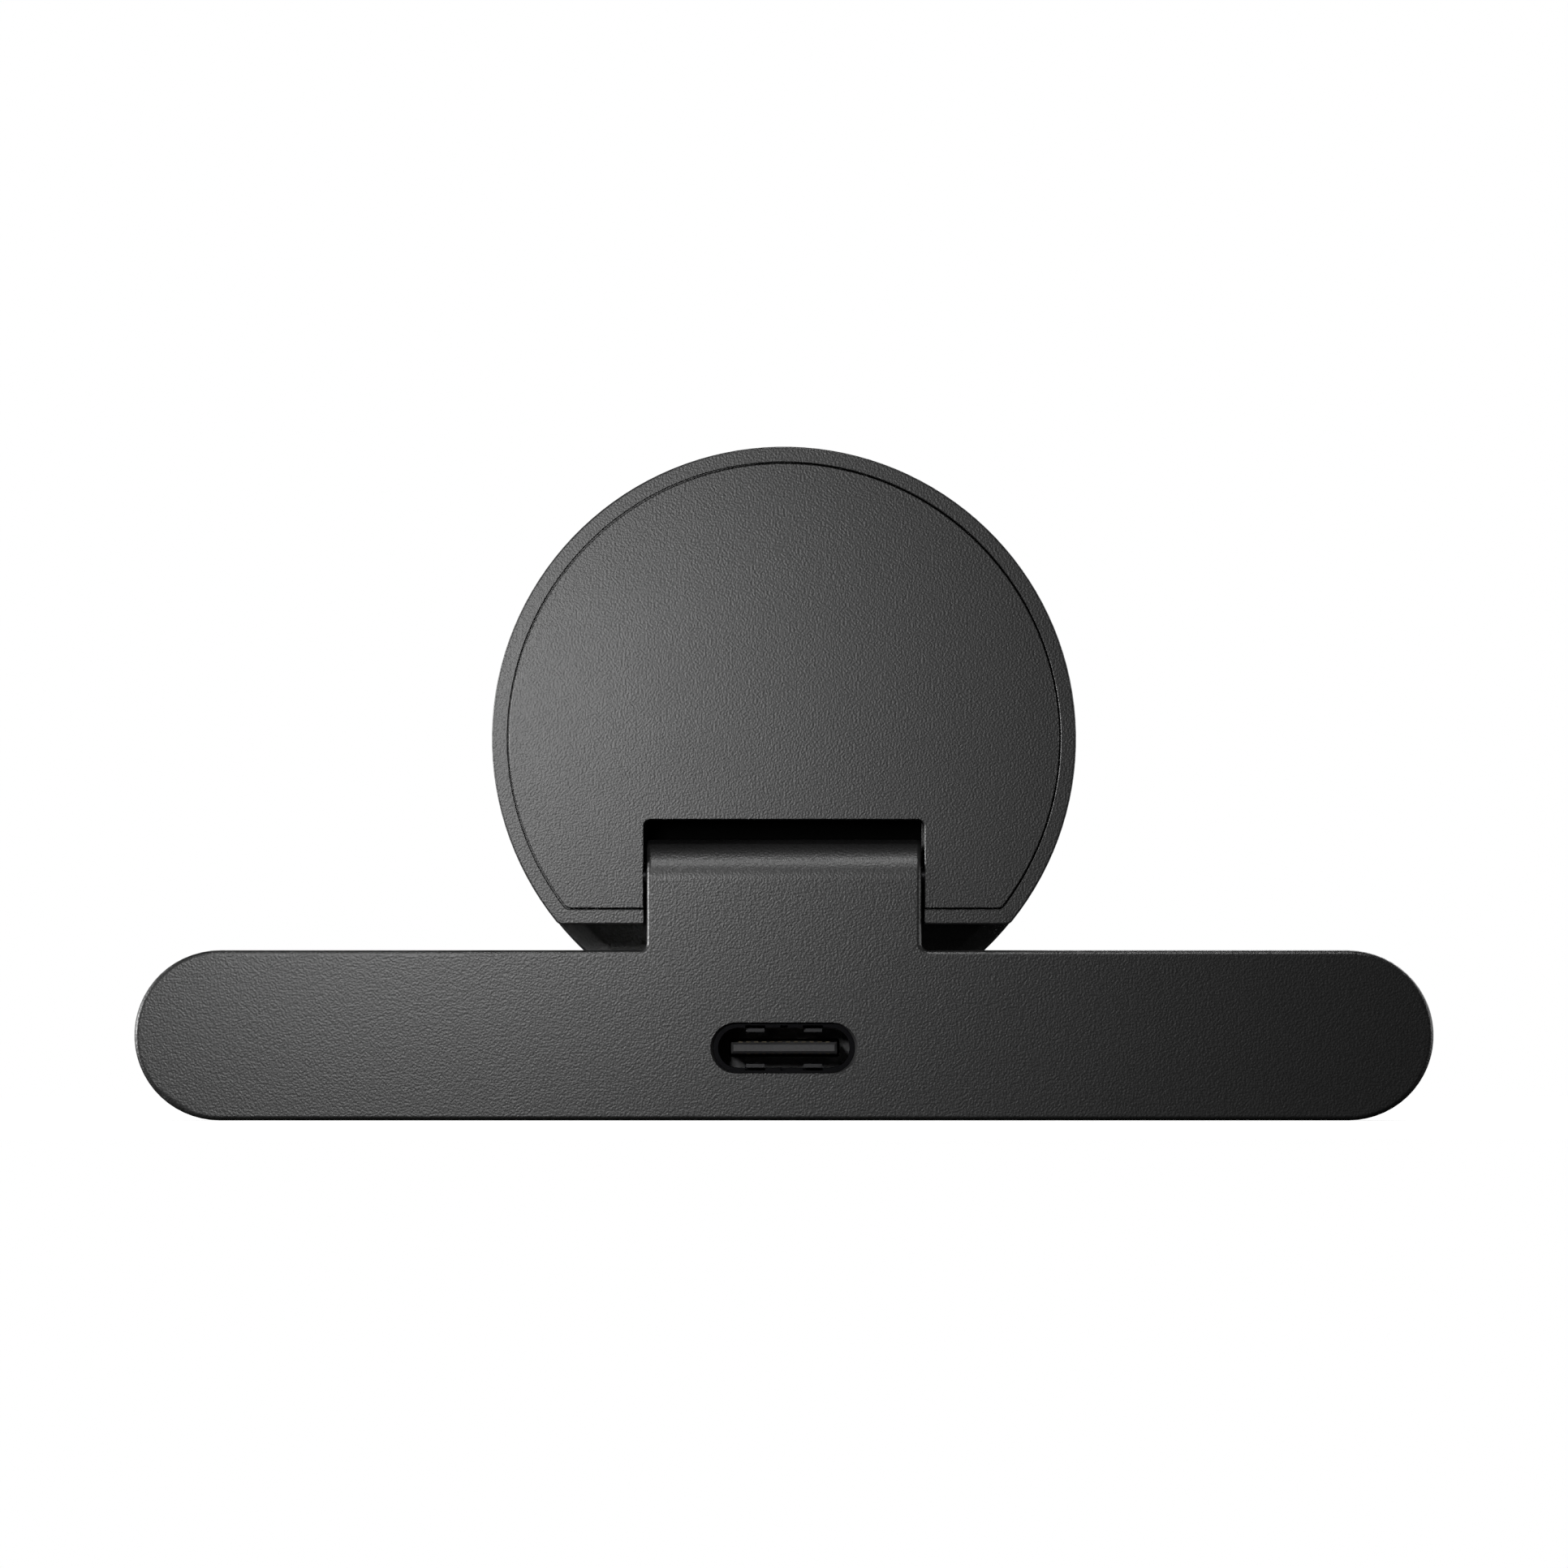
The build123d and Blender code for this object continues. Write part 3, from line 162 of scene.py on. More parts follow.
CAD_BOX = [list(corner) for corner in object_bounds()]
BODY_OF = {node: body for body, nodes in frame["record"]["behaviour"]["bodies"].items() for node in nodes}


# ---------------------------------------------------------------- sizes and colours a user may change
class WebcamMouldingSettings(bpy.types.PropertyGroup):
    """Finish of the dark grey mouldings, and where the sheet of painted shade sits in the hinge pocket."""

    colour: FloatVectorProperty(
        name="Colour", description="Base colour of the grey plastic", subtype="COLOR", size=3,
        min=0.0, max=1.0, default=(0.012, 0.012, 0.0121),
    )
    roughness: FloatProperty(
        name="Roughness", description="Mean roughness of the textured plastic", min=0.0, max=1.0, default=0.43
    )
    grain: FloatProperty(
        name="Grain", description="Size of one grain of the moulded texture", unit="LENGTH",
        min=0.00002, max=0.001, default=0.00013,
    )
    relief: FloatProperty(
        name="Relief", description="Depth of the moulded texture", unit="LENGTH",
        min=0.0, max=0.0001, default=0.000019,
    )
    pocket_room: FloatProperty(
        name="Pocket room", description="From the hinge's neck to the pocket's front wall", unit="LENGTH",
        min=0.0002, max=0.002, default=0.0008,
    )
    # the pocket's lining set by this height is a near-black sheet of painted shade
    pocket_rise: FloatProperty(
        name="Pocket rise", description="Height of the pocket's lining above the hinge axis", unit="LENGTH",
        min=0.001, max=0.01, default=0.0038,
    )


class WebcamLensSettings(bpy.types.PropertyGroup):
    """Sizes of the lens and of what surrounds it."""

    baffles: IntProperty(
        name="Baffles", description="Number of ridges in the lens hood", min=1, max=12, default=6
    )
    iris: FloatProperty(
        name="Iris", description="Radius of the lens opening seen through the front glass", unit="LENGTH",
        min=0.0005, max=0.0018, default=0.00105,
    )
    coating: FloatVectorProperty(
        name="Coating", description="Tint that the lens coating reflects", subtype="COLOR", size=3,
        min=0.0, max=1.0, default=(0.20, 0.16, 0.42),
    )


class WebcamFrontSettings(bpy.types.PropertyGroup):
    """Wire mesh behind the microphone holes."""

    mesh_wires: IntProperty(name="Wires", description="Wires each way in the mesh", min=3, max=16, default=6)
    mesh_wire: FloatProperty(
        name="Wire radius", description="Radius of one wire", unit="LENGTH", min=0.00001, max=0.0001,
        default=0.00003,
    )
    mesh_reach: FloatProperty(
        name="Mesh reach", description="From the hole's middle to the mesh's edge", unit="LENGTH",
        min=0.0001, max=0.0006, default=0.00028,
    )


class WebcamSocketSettings(bpy.types.PropertyGroup):
    """Small pieces inside the socket."""

    sheet: FloatProperty(
        name="Sheet", description="Thickness of the socket's shell", unit="LENGTH", min=0.0001, max=0.001,
        default=0.0003,
    )
    leaf_width: FloatProperty(
        name="Leaf width", description="Width of one leaf spring", unit="LENGTH", min=0.0005, max=0.003,
        default=0.00115,
    )
    leaf_spread: FloatProperty(
        name="Leaf spread", description="From the socket's middle to a leaf spring", unit="LENGTH",
        min=0.001, max=0.003, default=0.00182,
    )


class WebcamShutterSettings(bpy.types.PropertyGroup):
    """Ridges on the shutter's knob."""

    ridges: IntProperty(name="Ridges", description="Number of ridges on the knob", min=2, max=12, default=5)
    ridge_radius: FloatProperty(
        name="Ridge radius", description="Radius of one rounded ridge", unit="LENGTH",
        min=0.00005, max=0.0003, default=0.00012,
    )


class WebcamFootSettings(bpy.types.PropertyGroup):
    """Ribs of the rubber pad under the bar."""

    ribs: IntProperty(name="Ribs", description="Number of ribs across the pad", min=4, max=120, default=64)
    rib_radius: FloatProperty(
        name="Rib radius", description="Radius of one rounded rib", unit="LENGTH",
        min=0.0001, max=0.0006, default=0.0003,
    )


class WebcamStudioSettings(bpy.types.PropertyGroup):
    """Camera and light."""

    frame_width: FloatProperty(
        name="Frame width", description="Width of the picture at the back of the bar", unit="LENGTH",
        min=0.05, max=1.0, default=0.09908,
    )
    camera_height: FloatProperty(
        name="Camera height", description="Height of the level camera", unit="LENGTH",
        min=0.0, max=0.1, default=0.02126,
    )
    lens: FloatProperty(
        name="Lens", description="Focal length in millimetres", min=50, max=3000, default=1500
    )
    key_power: FloatProperty(
        name="Key power", description="Power of the key light in watts", min=0.0, max=50.0, default=0.102
    )
    high_power: FloatProperty(
        name="High power", description="Power of the high softbox in watts", min=0.0, max=50.0, default=0.17
    )


# ---------------------------------------------------------------- material helpers
def new_material(name, colour=(0.5, 0.5, 0.5), roughness=0.5, metallic=0.0, **sockets):
    """A material with one Principled shader; other sockets are given by name, with _ for a space."""
    material = bpy.data.materials.new(name)
    material.use_nodes = True
    shader = material.node_tree.nodes["Principled BSDF"]
    shader.inputs["Base Color"].default_value = (*colour, 1.0)
    shader.inputs["Roughness"].default_value = roughness
    shader.inputs["Metallic"].default_value = metallic
    for key, value in sockets.items():
        shader.inputs[key.replace("_", " ")].default_value = value
    return material, shader


def object_noise(material, size, detail=2.0, stretch=(1.0, 1.0, 1.0)):
    """Noise on Object coordinates whose lumps are `size` metres across; returns its Fac output."""
    nodes, links = material.node_tree.nodes, material.node_tree.links
    place = nodes.new("ShaderNodeTexCoord")
    mapping = nodes.new("ShaderNodeMapping")
    mapping.inputs["Scale"].default_value = stretch
    noise = nodes.new("ShaderNodeTexNoise")
    noise.inputs["Scale"].default_value = 1.0 / size
    noise.inputs["Detail"].default_value = detail
    links.new(place.outputs["Object"], mapping.inputs["Vector"])
    links.new(mapping.outputs["Vector"], noise.inputs["Vector"])
    return noise.outputs["Fac"]


def drive_roughness(material, shader, fac, low, high):
    """Let a noise move the roughness between two values."""
    spread = material.node_tree.nodes.new("ShaderNodeMapRange")
    spread.inputs["From Min"].default_value = NOISE_RANGE[0]
    spread.inputs["From Max"].default_value = NOISE_RANGE[1]
    spread.inputs["To Min"].default_value = low
    spread.inputs["To Max"].default_value = high
    material.node_tree.links.new(fac, spread.inputs["Value"])
    material.node_tree.links.new(spread.outputs["Result"], shader.inputs["Roughness"])


def drive_colour(material, shader, fac, low, high):
    """Let a noise move the base colour between two colours."""
    ramp = material.node_tree.nodes.new("ShaderNodeValToRGB")
    for element, position, colour in zip(ramp.color_ramp.elements, NOISE_RANGE, (low, high)):
        element.position = position
        element.color = (*colour, 1.0)
    material.node_tree.links.new(fac, ramp.inputs["Fac"])
    material.node_tree.links.new(ramp.outputs["Color"], shader.inputs["Base Color"])


def add_bump(material, shader, fac, distance):
    """Turn a noise into relief of the given depth."""
    bump = material.node_tree.nodes.new("ShaderNodeBump")
    bump.inputs["Strength"].default_value = 1.0
    bump.inputs["Distance"].default_value = distance
    material.node_tree.links.new(fac, bump.inputs["Height"])
    material.node_tree.links.new(bump.outputs["Normal"], shader.inputs["Normal"])


def scaled(colour, factor):
    """A colour made lighter or darker."""
    return tuple(min(1.0, channel * factor) for channel in colour)


# ---------------------------------------------------------------- materials
def moulded_grey(settings):
    """Fine-grained dark grey plastic of the housings."""
    material, shader = new_material(
        "moulded_grey", settings.colour, settings.roughness, IOR=1.6, Specular_IOR_Level=0.8
    )
    grain = object_noise(material, settings.grain, 0.5)
    dark, pale = scaled(settings.colour, DARK_GRAIN), scaled(settings.colour, PALE_GRAIN)
    drive_colour(material, shader, grain, dark, pale)
    cloud = object_noise(material, CLOUD_SIZE, 3.0)
    smooth, rough = settings.roughness - ROUGHNESS_SWING, settings.roughness + ROUGHNESS_SWING
    drive_roughness(material, shader, cloud, smooth, rough)
    add_bump(material, shader, grain, settings.relief)
    return material


def satin_black():
    """Black moulded plastic of inner parts."""
    material, shader = new_material("satin_black", (0.012, 0.012, 0.013), 0.42)
    fine = object_noise(material, 0.15 * MM)
    drive_roughness(material, shader, fine, 0.36, 0.5)
    add_bump(material, shader, fine, 0.004 * MM)
    return material


def gloss_black():
    """Polished black front panel with faint polishing haze."""
    material, shader = new_material(
        "gloss_black", (0.006, 0.006, 0.007), 0.12, Coat_Weight=0.6, Coat_Roughness=0.04
    )
    haze = object_noise(material, 9 * MM, 4.0)
    drive_roughness(material, shader, haze, 0.09, 0.17)
    add_bump(material, shader, object_noise(material, 3 * MM, 2.0), 0.002 * MM)
    return material


def foot_rubber():
    """Matte rubber with dust-like mottling."""
    material, shader = new_material("foot_rubber", (0.02, 0.02, 0.021), 0.85, Specular_IOR_Level=0.25)
    mottle = object_noise(material, 0.5 * MM, 4.0)
    drive_colour(material, shader, mottle, (0.014, 0.014, 0.015), (0.03, 0.03, 0.031))
    add_bump(material, shader, mottle, 0.01 * MM)
    return material


def sheet_metal(name, colour, roughness, grain_size, stretch=(1.0, 1.0, 1.0)):
    """Metal with a rolled or brushed grain."""
    material, shader = new_material(name, colour, roughness, 1.0)
    grain = object_noise(material, grain_size, 4.0, stretch)
    drive_roughness(material, shader, grain, roughness - 0.07, roughness + 0.09)
    drive_colour(material, shader, grain, scaled(colour, 0.88), scaled(colour, 1.08))
    add_bump(material, shader, grain, 0.002 * MM)
    return material


def solder_mask():
    """Green circuit board with copper showing faintly through the mask."""
    material, shader = new_material("solder_mask", (0.01, 0.07, 0.035), 0.3, Coat_Weight=0.3)
    traces = object_noise(material, 1.4 * MM, 1.0, (1.0, 1.0, 3.0))
    drive_colour(material, shader, traces, (0.008, 0.05, 0.026), (0.02, 0.11, 0.055))
    add_bump(material, shader, traces, 0.01 * MM)
    return material


def plain_finish(name, colour, roughness, grain_size, **sockets):
    """Small part with a light mottling of its colour."""
    material, shader = new_material(name, colour, roughness, 0.0, **sockets)
    mottle = object_noise(material, grain_size, 3.0)
    drive_colour(material, shader, mottle, scaled(colour, 0.85), scaled(colour, 1.12))
    add_bump(material, shader, mottle, 0.003 * MM)
    return material


def clear_glass(name, tint, roughness=0.01, **sockets):
    """Glass that shows what lies behind it."""
    material, shader = new_material(
        name, tint, roughness, 0.0, Transmission_Weight=1.0, IOR=1.5, **sockets
    )
    smear = object_noise(material, 2.5 * MM, 2.0)
    drive_roughness(material, shader, smear, roughness, roughness + 0.02)
    return material


# ---------------------------------------------------------------- mesh helpers
def add_piece(name, mesh, body, material, replaces=(), smooth_angle=35.0):
    """Link a finished mesh, give it its material and body, and hide the frame nodes it stands for."""
    piece = bpy.data.objects.new(name, mesh)
    bpy.context.scene.collection.objects.link(piece)
    mesh.materials.clear()
    mesh.materials.append(material)
    shade_by_angle(mesh, smooth_angle)
    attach(piece, body)
    if replaces:
        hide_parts(*replaces)
    return piece


def shade_by_angle(mesh, degrees):
    """Smooth shading with an edge kept sharp where its faces meet at more than the given angle."""
    shape = bmesh.new()
    shape.from_mesh(mesh)
    limit = math.radians(degrees)
    for face in shape.faces:
        face.smooth = True
    for edge in shape.edges:
        edge.smooth = len(edge.link_faces) == 2 and edge.calc_face_angle(0.0) < limit
    shape.to_mesh(mesh)
    shape.free()


def welded_copy(node):
    """Mesh of a frame node with its loose triangles joined up."""
    mesh = frame["nodes"][node].data.copy()
    mesh.name = node + "_finished"
    shape = bmesh.new()
    shape.from_mesh(mesh)
    bmesh.ops.remove_doubles(shape, verts=shape.verts, dist=WELD_DISTANCE)
    bmesh.ops.dissolve_limit(
        shape, angle_limit=FLAT_ANGLE, verts=shape.verts, edges=shape.edges, delimit={"NORMAL"}
    )
    bmesh.ops.triangulate(shape, faces=shape.faces, quad_method="BEAUTY", ngon_method="BEAUTY")
    shape.to_mesh(mesh)
    shape.free()
    while mesh.attributes.get("custom_normal"):
        mesh.attributes.remove(mesh.attributes["custom_normal"])
    return mesh


def finish_node(node, material):
    """Replace a frame node by its welded, smoothly shaded copy."""
    piece = add_piece(node + "_finished", welded_copy(node), BODY_OF[node], material, (node,))
    weighted = piece.modifiers.new("even_shading", "WEIGHTED_NORMAL")
    weighted.keep_sharp = True
    weighted.weight = 100


def new_mesh(name, shape):
    """Mesh datablock from a finished bmesh, which is freed."""
    mesh = bpy.data.meshes.new(name)
    shape.to_mesh(mesh)
    shape.free()
    return mesh


def lathe(name, outline, centre, steps=128):
    """Solid of revolution about the line through centre along Y; outline is a closed list of (radius, y)."""
    shape = bmesh.new()
    rings = []
    for radius, y in outline:
        if radius < ON_AXIS:
            rings.append([shape.verts.new((centre[0], y, centre[2]))])
            continue
        ring = []
        for step in range(steps):
            angle = 2 * math.pi * step / steps
            ring.append(shape.verts.new(
                (centre[0] + radius * math.cos(angle), y, centre[2] + radius * math.sin(angle))
            ))
        rings.append(ring)
    for first, second in zip(rings, rings[1:] + rings[:1]):
        if len(first) == 1 and len(second) == 1:
            continue
        for step in range(steps):
            after = (step + 1) % steps
            corners = [first[step % len(first)], first[after % len(first)]]
            corners += [second[after % len(second)], second[step % len(second)]]
            corners = list(dict.fromkeys(corners))
            if len(corners) > 2:
                shape.faces.new(corners)
    bmesh.ops.recalc_face_normals(shape, faces=shape.faces)
    return new_mesh(name, shape)


def arc_points(centre, radius, start, end, count):
    """Points on an arc in the (radius, y) plane, angles in degrees."""
    points = []
    for step in range(count + 1):
        angle = math.radians(start + (end - start) * step / count)
        points.append((centre[0] + radius * math.cos(angle), centre[1] + radius * math.sin(angle)))
    return points


def rounded_plate(name, low, high, corner, edge, steps=8):
    """Level plate with rounded corners and a softened rim, between two opposite corners of its box."""
    shape = bmesh.new()
    layers = []
    for inset, z in ((edge, low.z), (0.0, low.z + edge), (0.0, high.z - edge), (edge, high.z)):
        ring = []
        for quarter, (sx, sy) in enumerate(((1, 1), (-1, 1), (-1, -1), (1, -1))):
            cx = (high.x if sx > 0 else low.x) - sx * corner
            cy = (high.y if sy > 0 else low.y) - sy * corner
            for step in range(steps + 1):
                angle = math.radians(90 * quarter + 90 * step / steps)
                reach = corner - inset
                ring.append(shape.verts.new((cx + reach * math.cos(angle), cy + reach * math.sin(angle), z)))
        layers.append(ring)
    for lower, upper in zip(layers, layers[1:]):
        for index in range(len(lower)):
            after = (index + 1) % len(lower)
            shape.faces.new((lower[index], lower[after], upper[after], upper[index]))
    shape.faces.new(list(reversed(layers[0])))
    shape.faces.new(layers[-1])
    bmesh.ops.recalc_face_normals(shape, faces=shape.faces)
    return new_mesh(name, shape)


def stadium_ring(name, centre, width, height, hole_width, hole_height, low_y, high_y, steps=12):
    """Upright stadium plate between two depths, with an oblong hole through it."""
    shape = bmesh.new()
    rings = []
    for y in (low_y, high_y):
        for span, tall in ((width, height), (hole_width, hole_height)):
            radius = tall / 2 if span == width else tall / 8
            ring = []
            for quarter, (sx, sz) in enumerate(((1, 1), (-1, 1), (-1, -1), (1, -1))):
                cx = centre.x + sx * (span / 2 - radius)
                cz = centre.z + sz * (tall / 2 - radius)
                for step in range(steps + 1):
                    angle = math.radians(90 * quarter + 90 * step / steps)
                    x, z = cx + radius * math.cos(angle), cz + radius * math.sin(angle)
                    ring.append(shape.verts.new((x, y, z)))
            rings.append(ring)
    outer_low, inner_low, outer_high, inner_high = rings
    for first, second in (
        (outer_low, outer_high), (outer_high, inner_high), (inner_high, inner_low), (inner_low, outer_low)
    ):
        for index in range(len(first)):
            after = (index + 1) % len(first)
            shape.faces.new((first[index], first[after], second[after], second[index]))
    bmesh.ops.recalc_face_normals(shape, faces=shape.faces)
    return new_mesh(name, shape)


def box_mesh(name, low, high):
    """Plain box between two corners."""
    shape = bmesh.new()
    bmesh.ops.create_cube(shape, size=1.0)
    for vert in shape.verts:
        vert.co = Vector((low[axis] + (vert.co[axis] + 0.5) * (high[axis] - low[axis]) for axis in range(3)))
    return new_mesh(name, shape)


def joined(name, *meshes):
    """One mesh from several."""
    shape = bmesh.new()
    for mesh in meshes:
        shape.from_mesh(mesh)
    return new_mesh(name, shape)


# ---------------------------------------------------------------- geometry node helpers
def row_tree(name, material):
    """Tree that repeats the incoming mesh along a line: Count copies, Step apart, from Start."""
    tree = bpy.data.node_groups.new(name, "GeometryNodeTree")
    tree.interface.new_socket("Geometry", in_out="INPUT", socket_type="NodeSocketGeometry")
    tree.interface.new_socket("Count", in_out="INPUT", socket_type="NodeSocketInt")
    tree.interface.new_socket("Start", in_out="INPUT", socket_type="NodeSocketVector")
    tree.interface.new_socket("Step", in_out="INPUT", socket_type="NodeSocketVector")
    tree.interface.new_socket("Geometry", in_out="OUTPUT", socket_type="NodeSocketGeometry")
    nodes, links = tree.nodes, tree.links
    source = nodes.new("NodeGroupInput")
    line = nodes.new("GeometryNodeMeshLine")
    line.mode = "OFFSET"
    instances = nodes.new("GeometryNodeInstanceOnPoints")
    realize = nodes.new("GeometryNodeRealizeInstances")
    finish = nodes.new("GeometryNodeSetMaterial")
    finish.inputs["Material"].default_value = material
    result = nodes.new("NodeGroupOutput")
    links.new(source.outputs["Count"], line.inputs["Count"])
    links.new(source.outputs["Start"], line.inputs["Start Location"])
    links.new(source.outputs["Step"], line.inputs["Offset"])
    links.new(line.outputs["Mesh"], instances.inputs["Points"])
    links.new(source.outputs["Geometry"], instances.inputs["Instance"])
    links.new(instances.outputs["Instances"], realize.inputs["Geometry"])
    links.new(realize.outputs["Geometry"], finish.inputs["Geometry"])
    links.new(finish.outputs["Geometry"], result.inputs["Geometry"])
    return tree


def repeated(name, unit_mesh, material, count, start, step):
    """Plain mesh of `count` copies of a unit mesh, made by the row tree."""
    holder = bpy.data.objects.new(name + "_source", unit_mesh)
    bpy.context.scene.collection.objects.link(holder)
    modifier = holder.modifiers.new("row", "NODES")
    modifier.node_group = row_tree(name + "_row", material)
    sockets = {item.name: item.identifier for item in modifier.node_group.interface.items_tree
               if item.in_out == "INPUT"}
    modifier[sockets["Count"]] = count
    modifier[sockets["Start"]] = start
    modifier[sockets["Step"]] = step
    holder.update_tag()
    depsgraph = bpy.context.evaluated_depsgraph_get()
    mesh = bpy.data.meshes.new_from_object(holder.evaluated_get(depsgraph))
    mesh.name = name
    bpy.data.objects.remove(holder)
    return mesh


def rod(name, radius, length, axis, steps=16):
    """Short rod centred on the origin, its ends rounded off by a chamfer, along X, Y or Z."""
    ease = radius * 0.3
    outline = [(0.0, -length / 2), (radius - ease, -length / 2), (radius, -length / 2 + ease)]
    outline += [(radius, length / 2 - ease), (radius - ease, length / 2), (0.0, length / 2)]
    mesh = lathe(name, outline, (0.0, 0.0, 0.0), steps)
    if axis == "X":
        mesh.transform(Matrix.Rotation(math.radians(90), 4, "Z"))
    if axis == "Z":
        mesh.transform(Matrix.Rotation(math.radians(90), 4, "X"))
    return mesh


def middle(node):
    """Centre of a frame node's box."""
    low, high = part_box(node)
    return (low + high) / 2


def microphone_mesh(material, settings):
    """Two layers of fine crossed wires behind each microphone hole of the front panel."""
    low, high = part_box("mic_gaskets")
    panel_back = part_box("front_panel")[1].y
    reach = settings.mesh_reach
    pitch = 2 * reach / (settings.mesh_wires - 1)
    depth = panel_back - 3 * settings.mesh_wire
    layers = []
    for x in (low.x + (high.z - low.z) / 2, high.x - (high.z - low.z) / 2):
        z = (low.z + high.z) / 2
        for axis, step, offset in (("X", (0.0, 0.0, pitch), -1), ("Z", (pitch, 0.0, 0.0), 1)):
            unit = rod("mesh_wire", settings.mesh_wire, 2 * reach, axis, 8)
            y = depth + offset * settings.mesh_wire
            start = (x - reach * step[0] / pitch, y, z - reach * step[2] / pitch)
            layers.append(repeated("mesh_wires", unit, material, settings.mesh_wires, start, step))
    return joined("microphone_mesh", *layers)


# ---------------------------------------------------------------- operators
class WEBCAM_OT_mouldings(bpy.types.Operator):
    """Finish the grey housings of the stand and the head, and lay a near-black sheet of painted shade in the
    hinge pocket.
    """

    bl_idname = "webcam.mouldings"
    bl_label = "Housings"

    def execute(self, context):
        settings = context.scene.webcam_moulding
        grey = moulded_grey(settings)
        housings = ("stand_rear_cover", "stand_front_cover")
        housings += ("head_rear_shell", "rear_cover_plate", "front_shell")
        for node in housings:
            finish_node(node, grey)
        # near-black matte sheet on the hinge pocket's front wall, over the cable's slot: painted shade that
        # keeps the pocket dark
        painted_shade = plain_finish("pocket_painted_shade", (0.003, 0.003, 0.003), 0.9, 0.2 * MM, Specular_IOR_Level=0.02)
        shaft = middle("hinge_shaft")
        tab_low, tab_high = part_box("friction_bushes")     # they reach from side to side of the tab
        neck_depth = 2 * (CAD_BOX[1][1] - shaft.y)
        wall_y = CAD_BOX[1][1] - neck_depth - settings.pocket_room
        plate_low = Vector((tab_low.x, wall_y, shaft.z))
        plate_high = Vector((tab_high.x, wall_y + SHADE_SHEET, shaft.z + settings.pocket_rise))
        plate = box_mesh("pocket_shade_sheet", plate_low, plate_high)
        add_piece("pocket_shade_sheet", plate, "head", painted_shade)
        return {"FINISHED"}


class WEBCAM_OT_front(bpy.types.Operator):
    """Finish the black front panel and the status light's window."""

    bl_idname = "webcam.front"
    bl_label = "Front panel"

    def execute(self, context):
        finish_node("front_panel", gloss_black())
        finish_node("shutter_guide", satin_black())
        low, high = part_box("led_light_pipe")
        centre = middle("led_light_pipe")
        radius = (high.x - low.x) / 2
        curve = radius * DOME_SWELL
        dome = arc_points((0.0, low.y + curve), curve, 270, 320, 8)
        dome = [(r, y) for r, y in dome if r < radius]
        outline = [(0.0, low.y)] + dome[1:]
        outline += [(radius, dome[-1][1] + DOME_LIP), (radius, high.y), (0.0, high.y)]
        pipe = plain_finish(
            "light_pipe", (0.62, 0.64, 0.66), 0.35, 0.4 * MM, Subsurface_Weight=0.2, Subsurface_Scale=0.0005
        )
        add_piece("status_window", lathe("status_window", outline, centre, 48), "head", pipe,
                  ("led_light_pipe",))
        steel = sheet_metal("woven_steel", (0.22, 0.22, 0.23), 0.4, 0.2 * MM)
        add_piece("microphone_mesh", microphone_mesh(steel, context.scene.webcam_front), "head", steel,
                  (), 60.0)
        return {"FINISHED"}


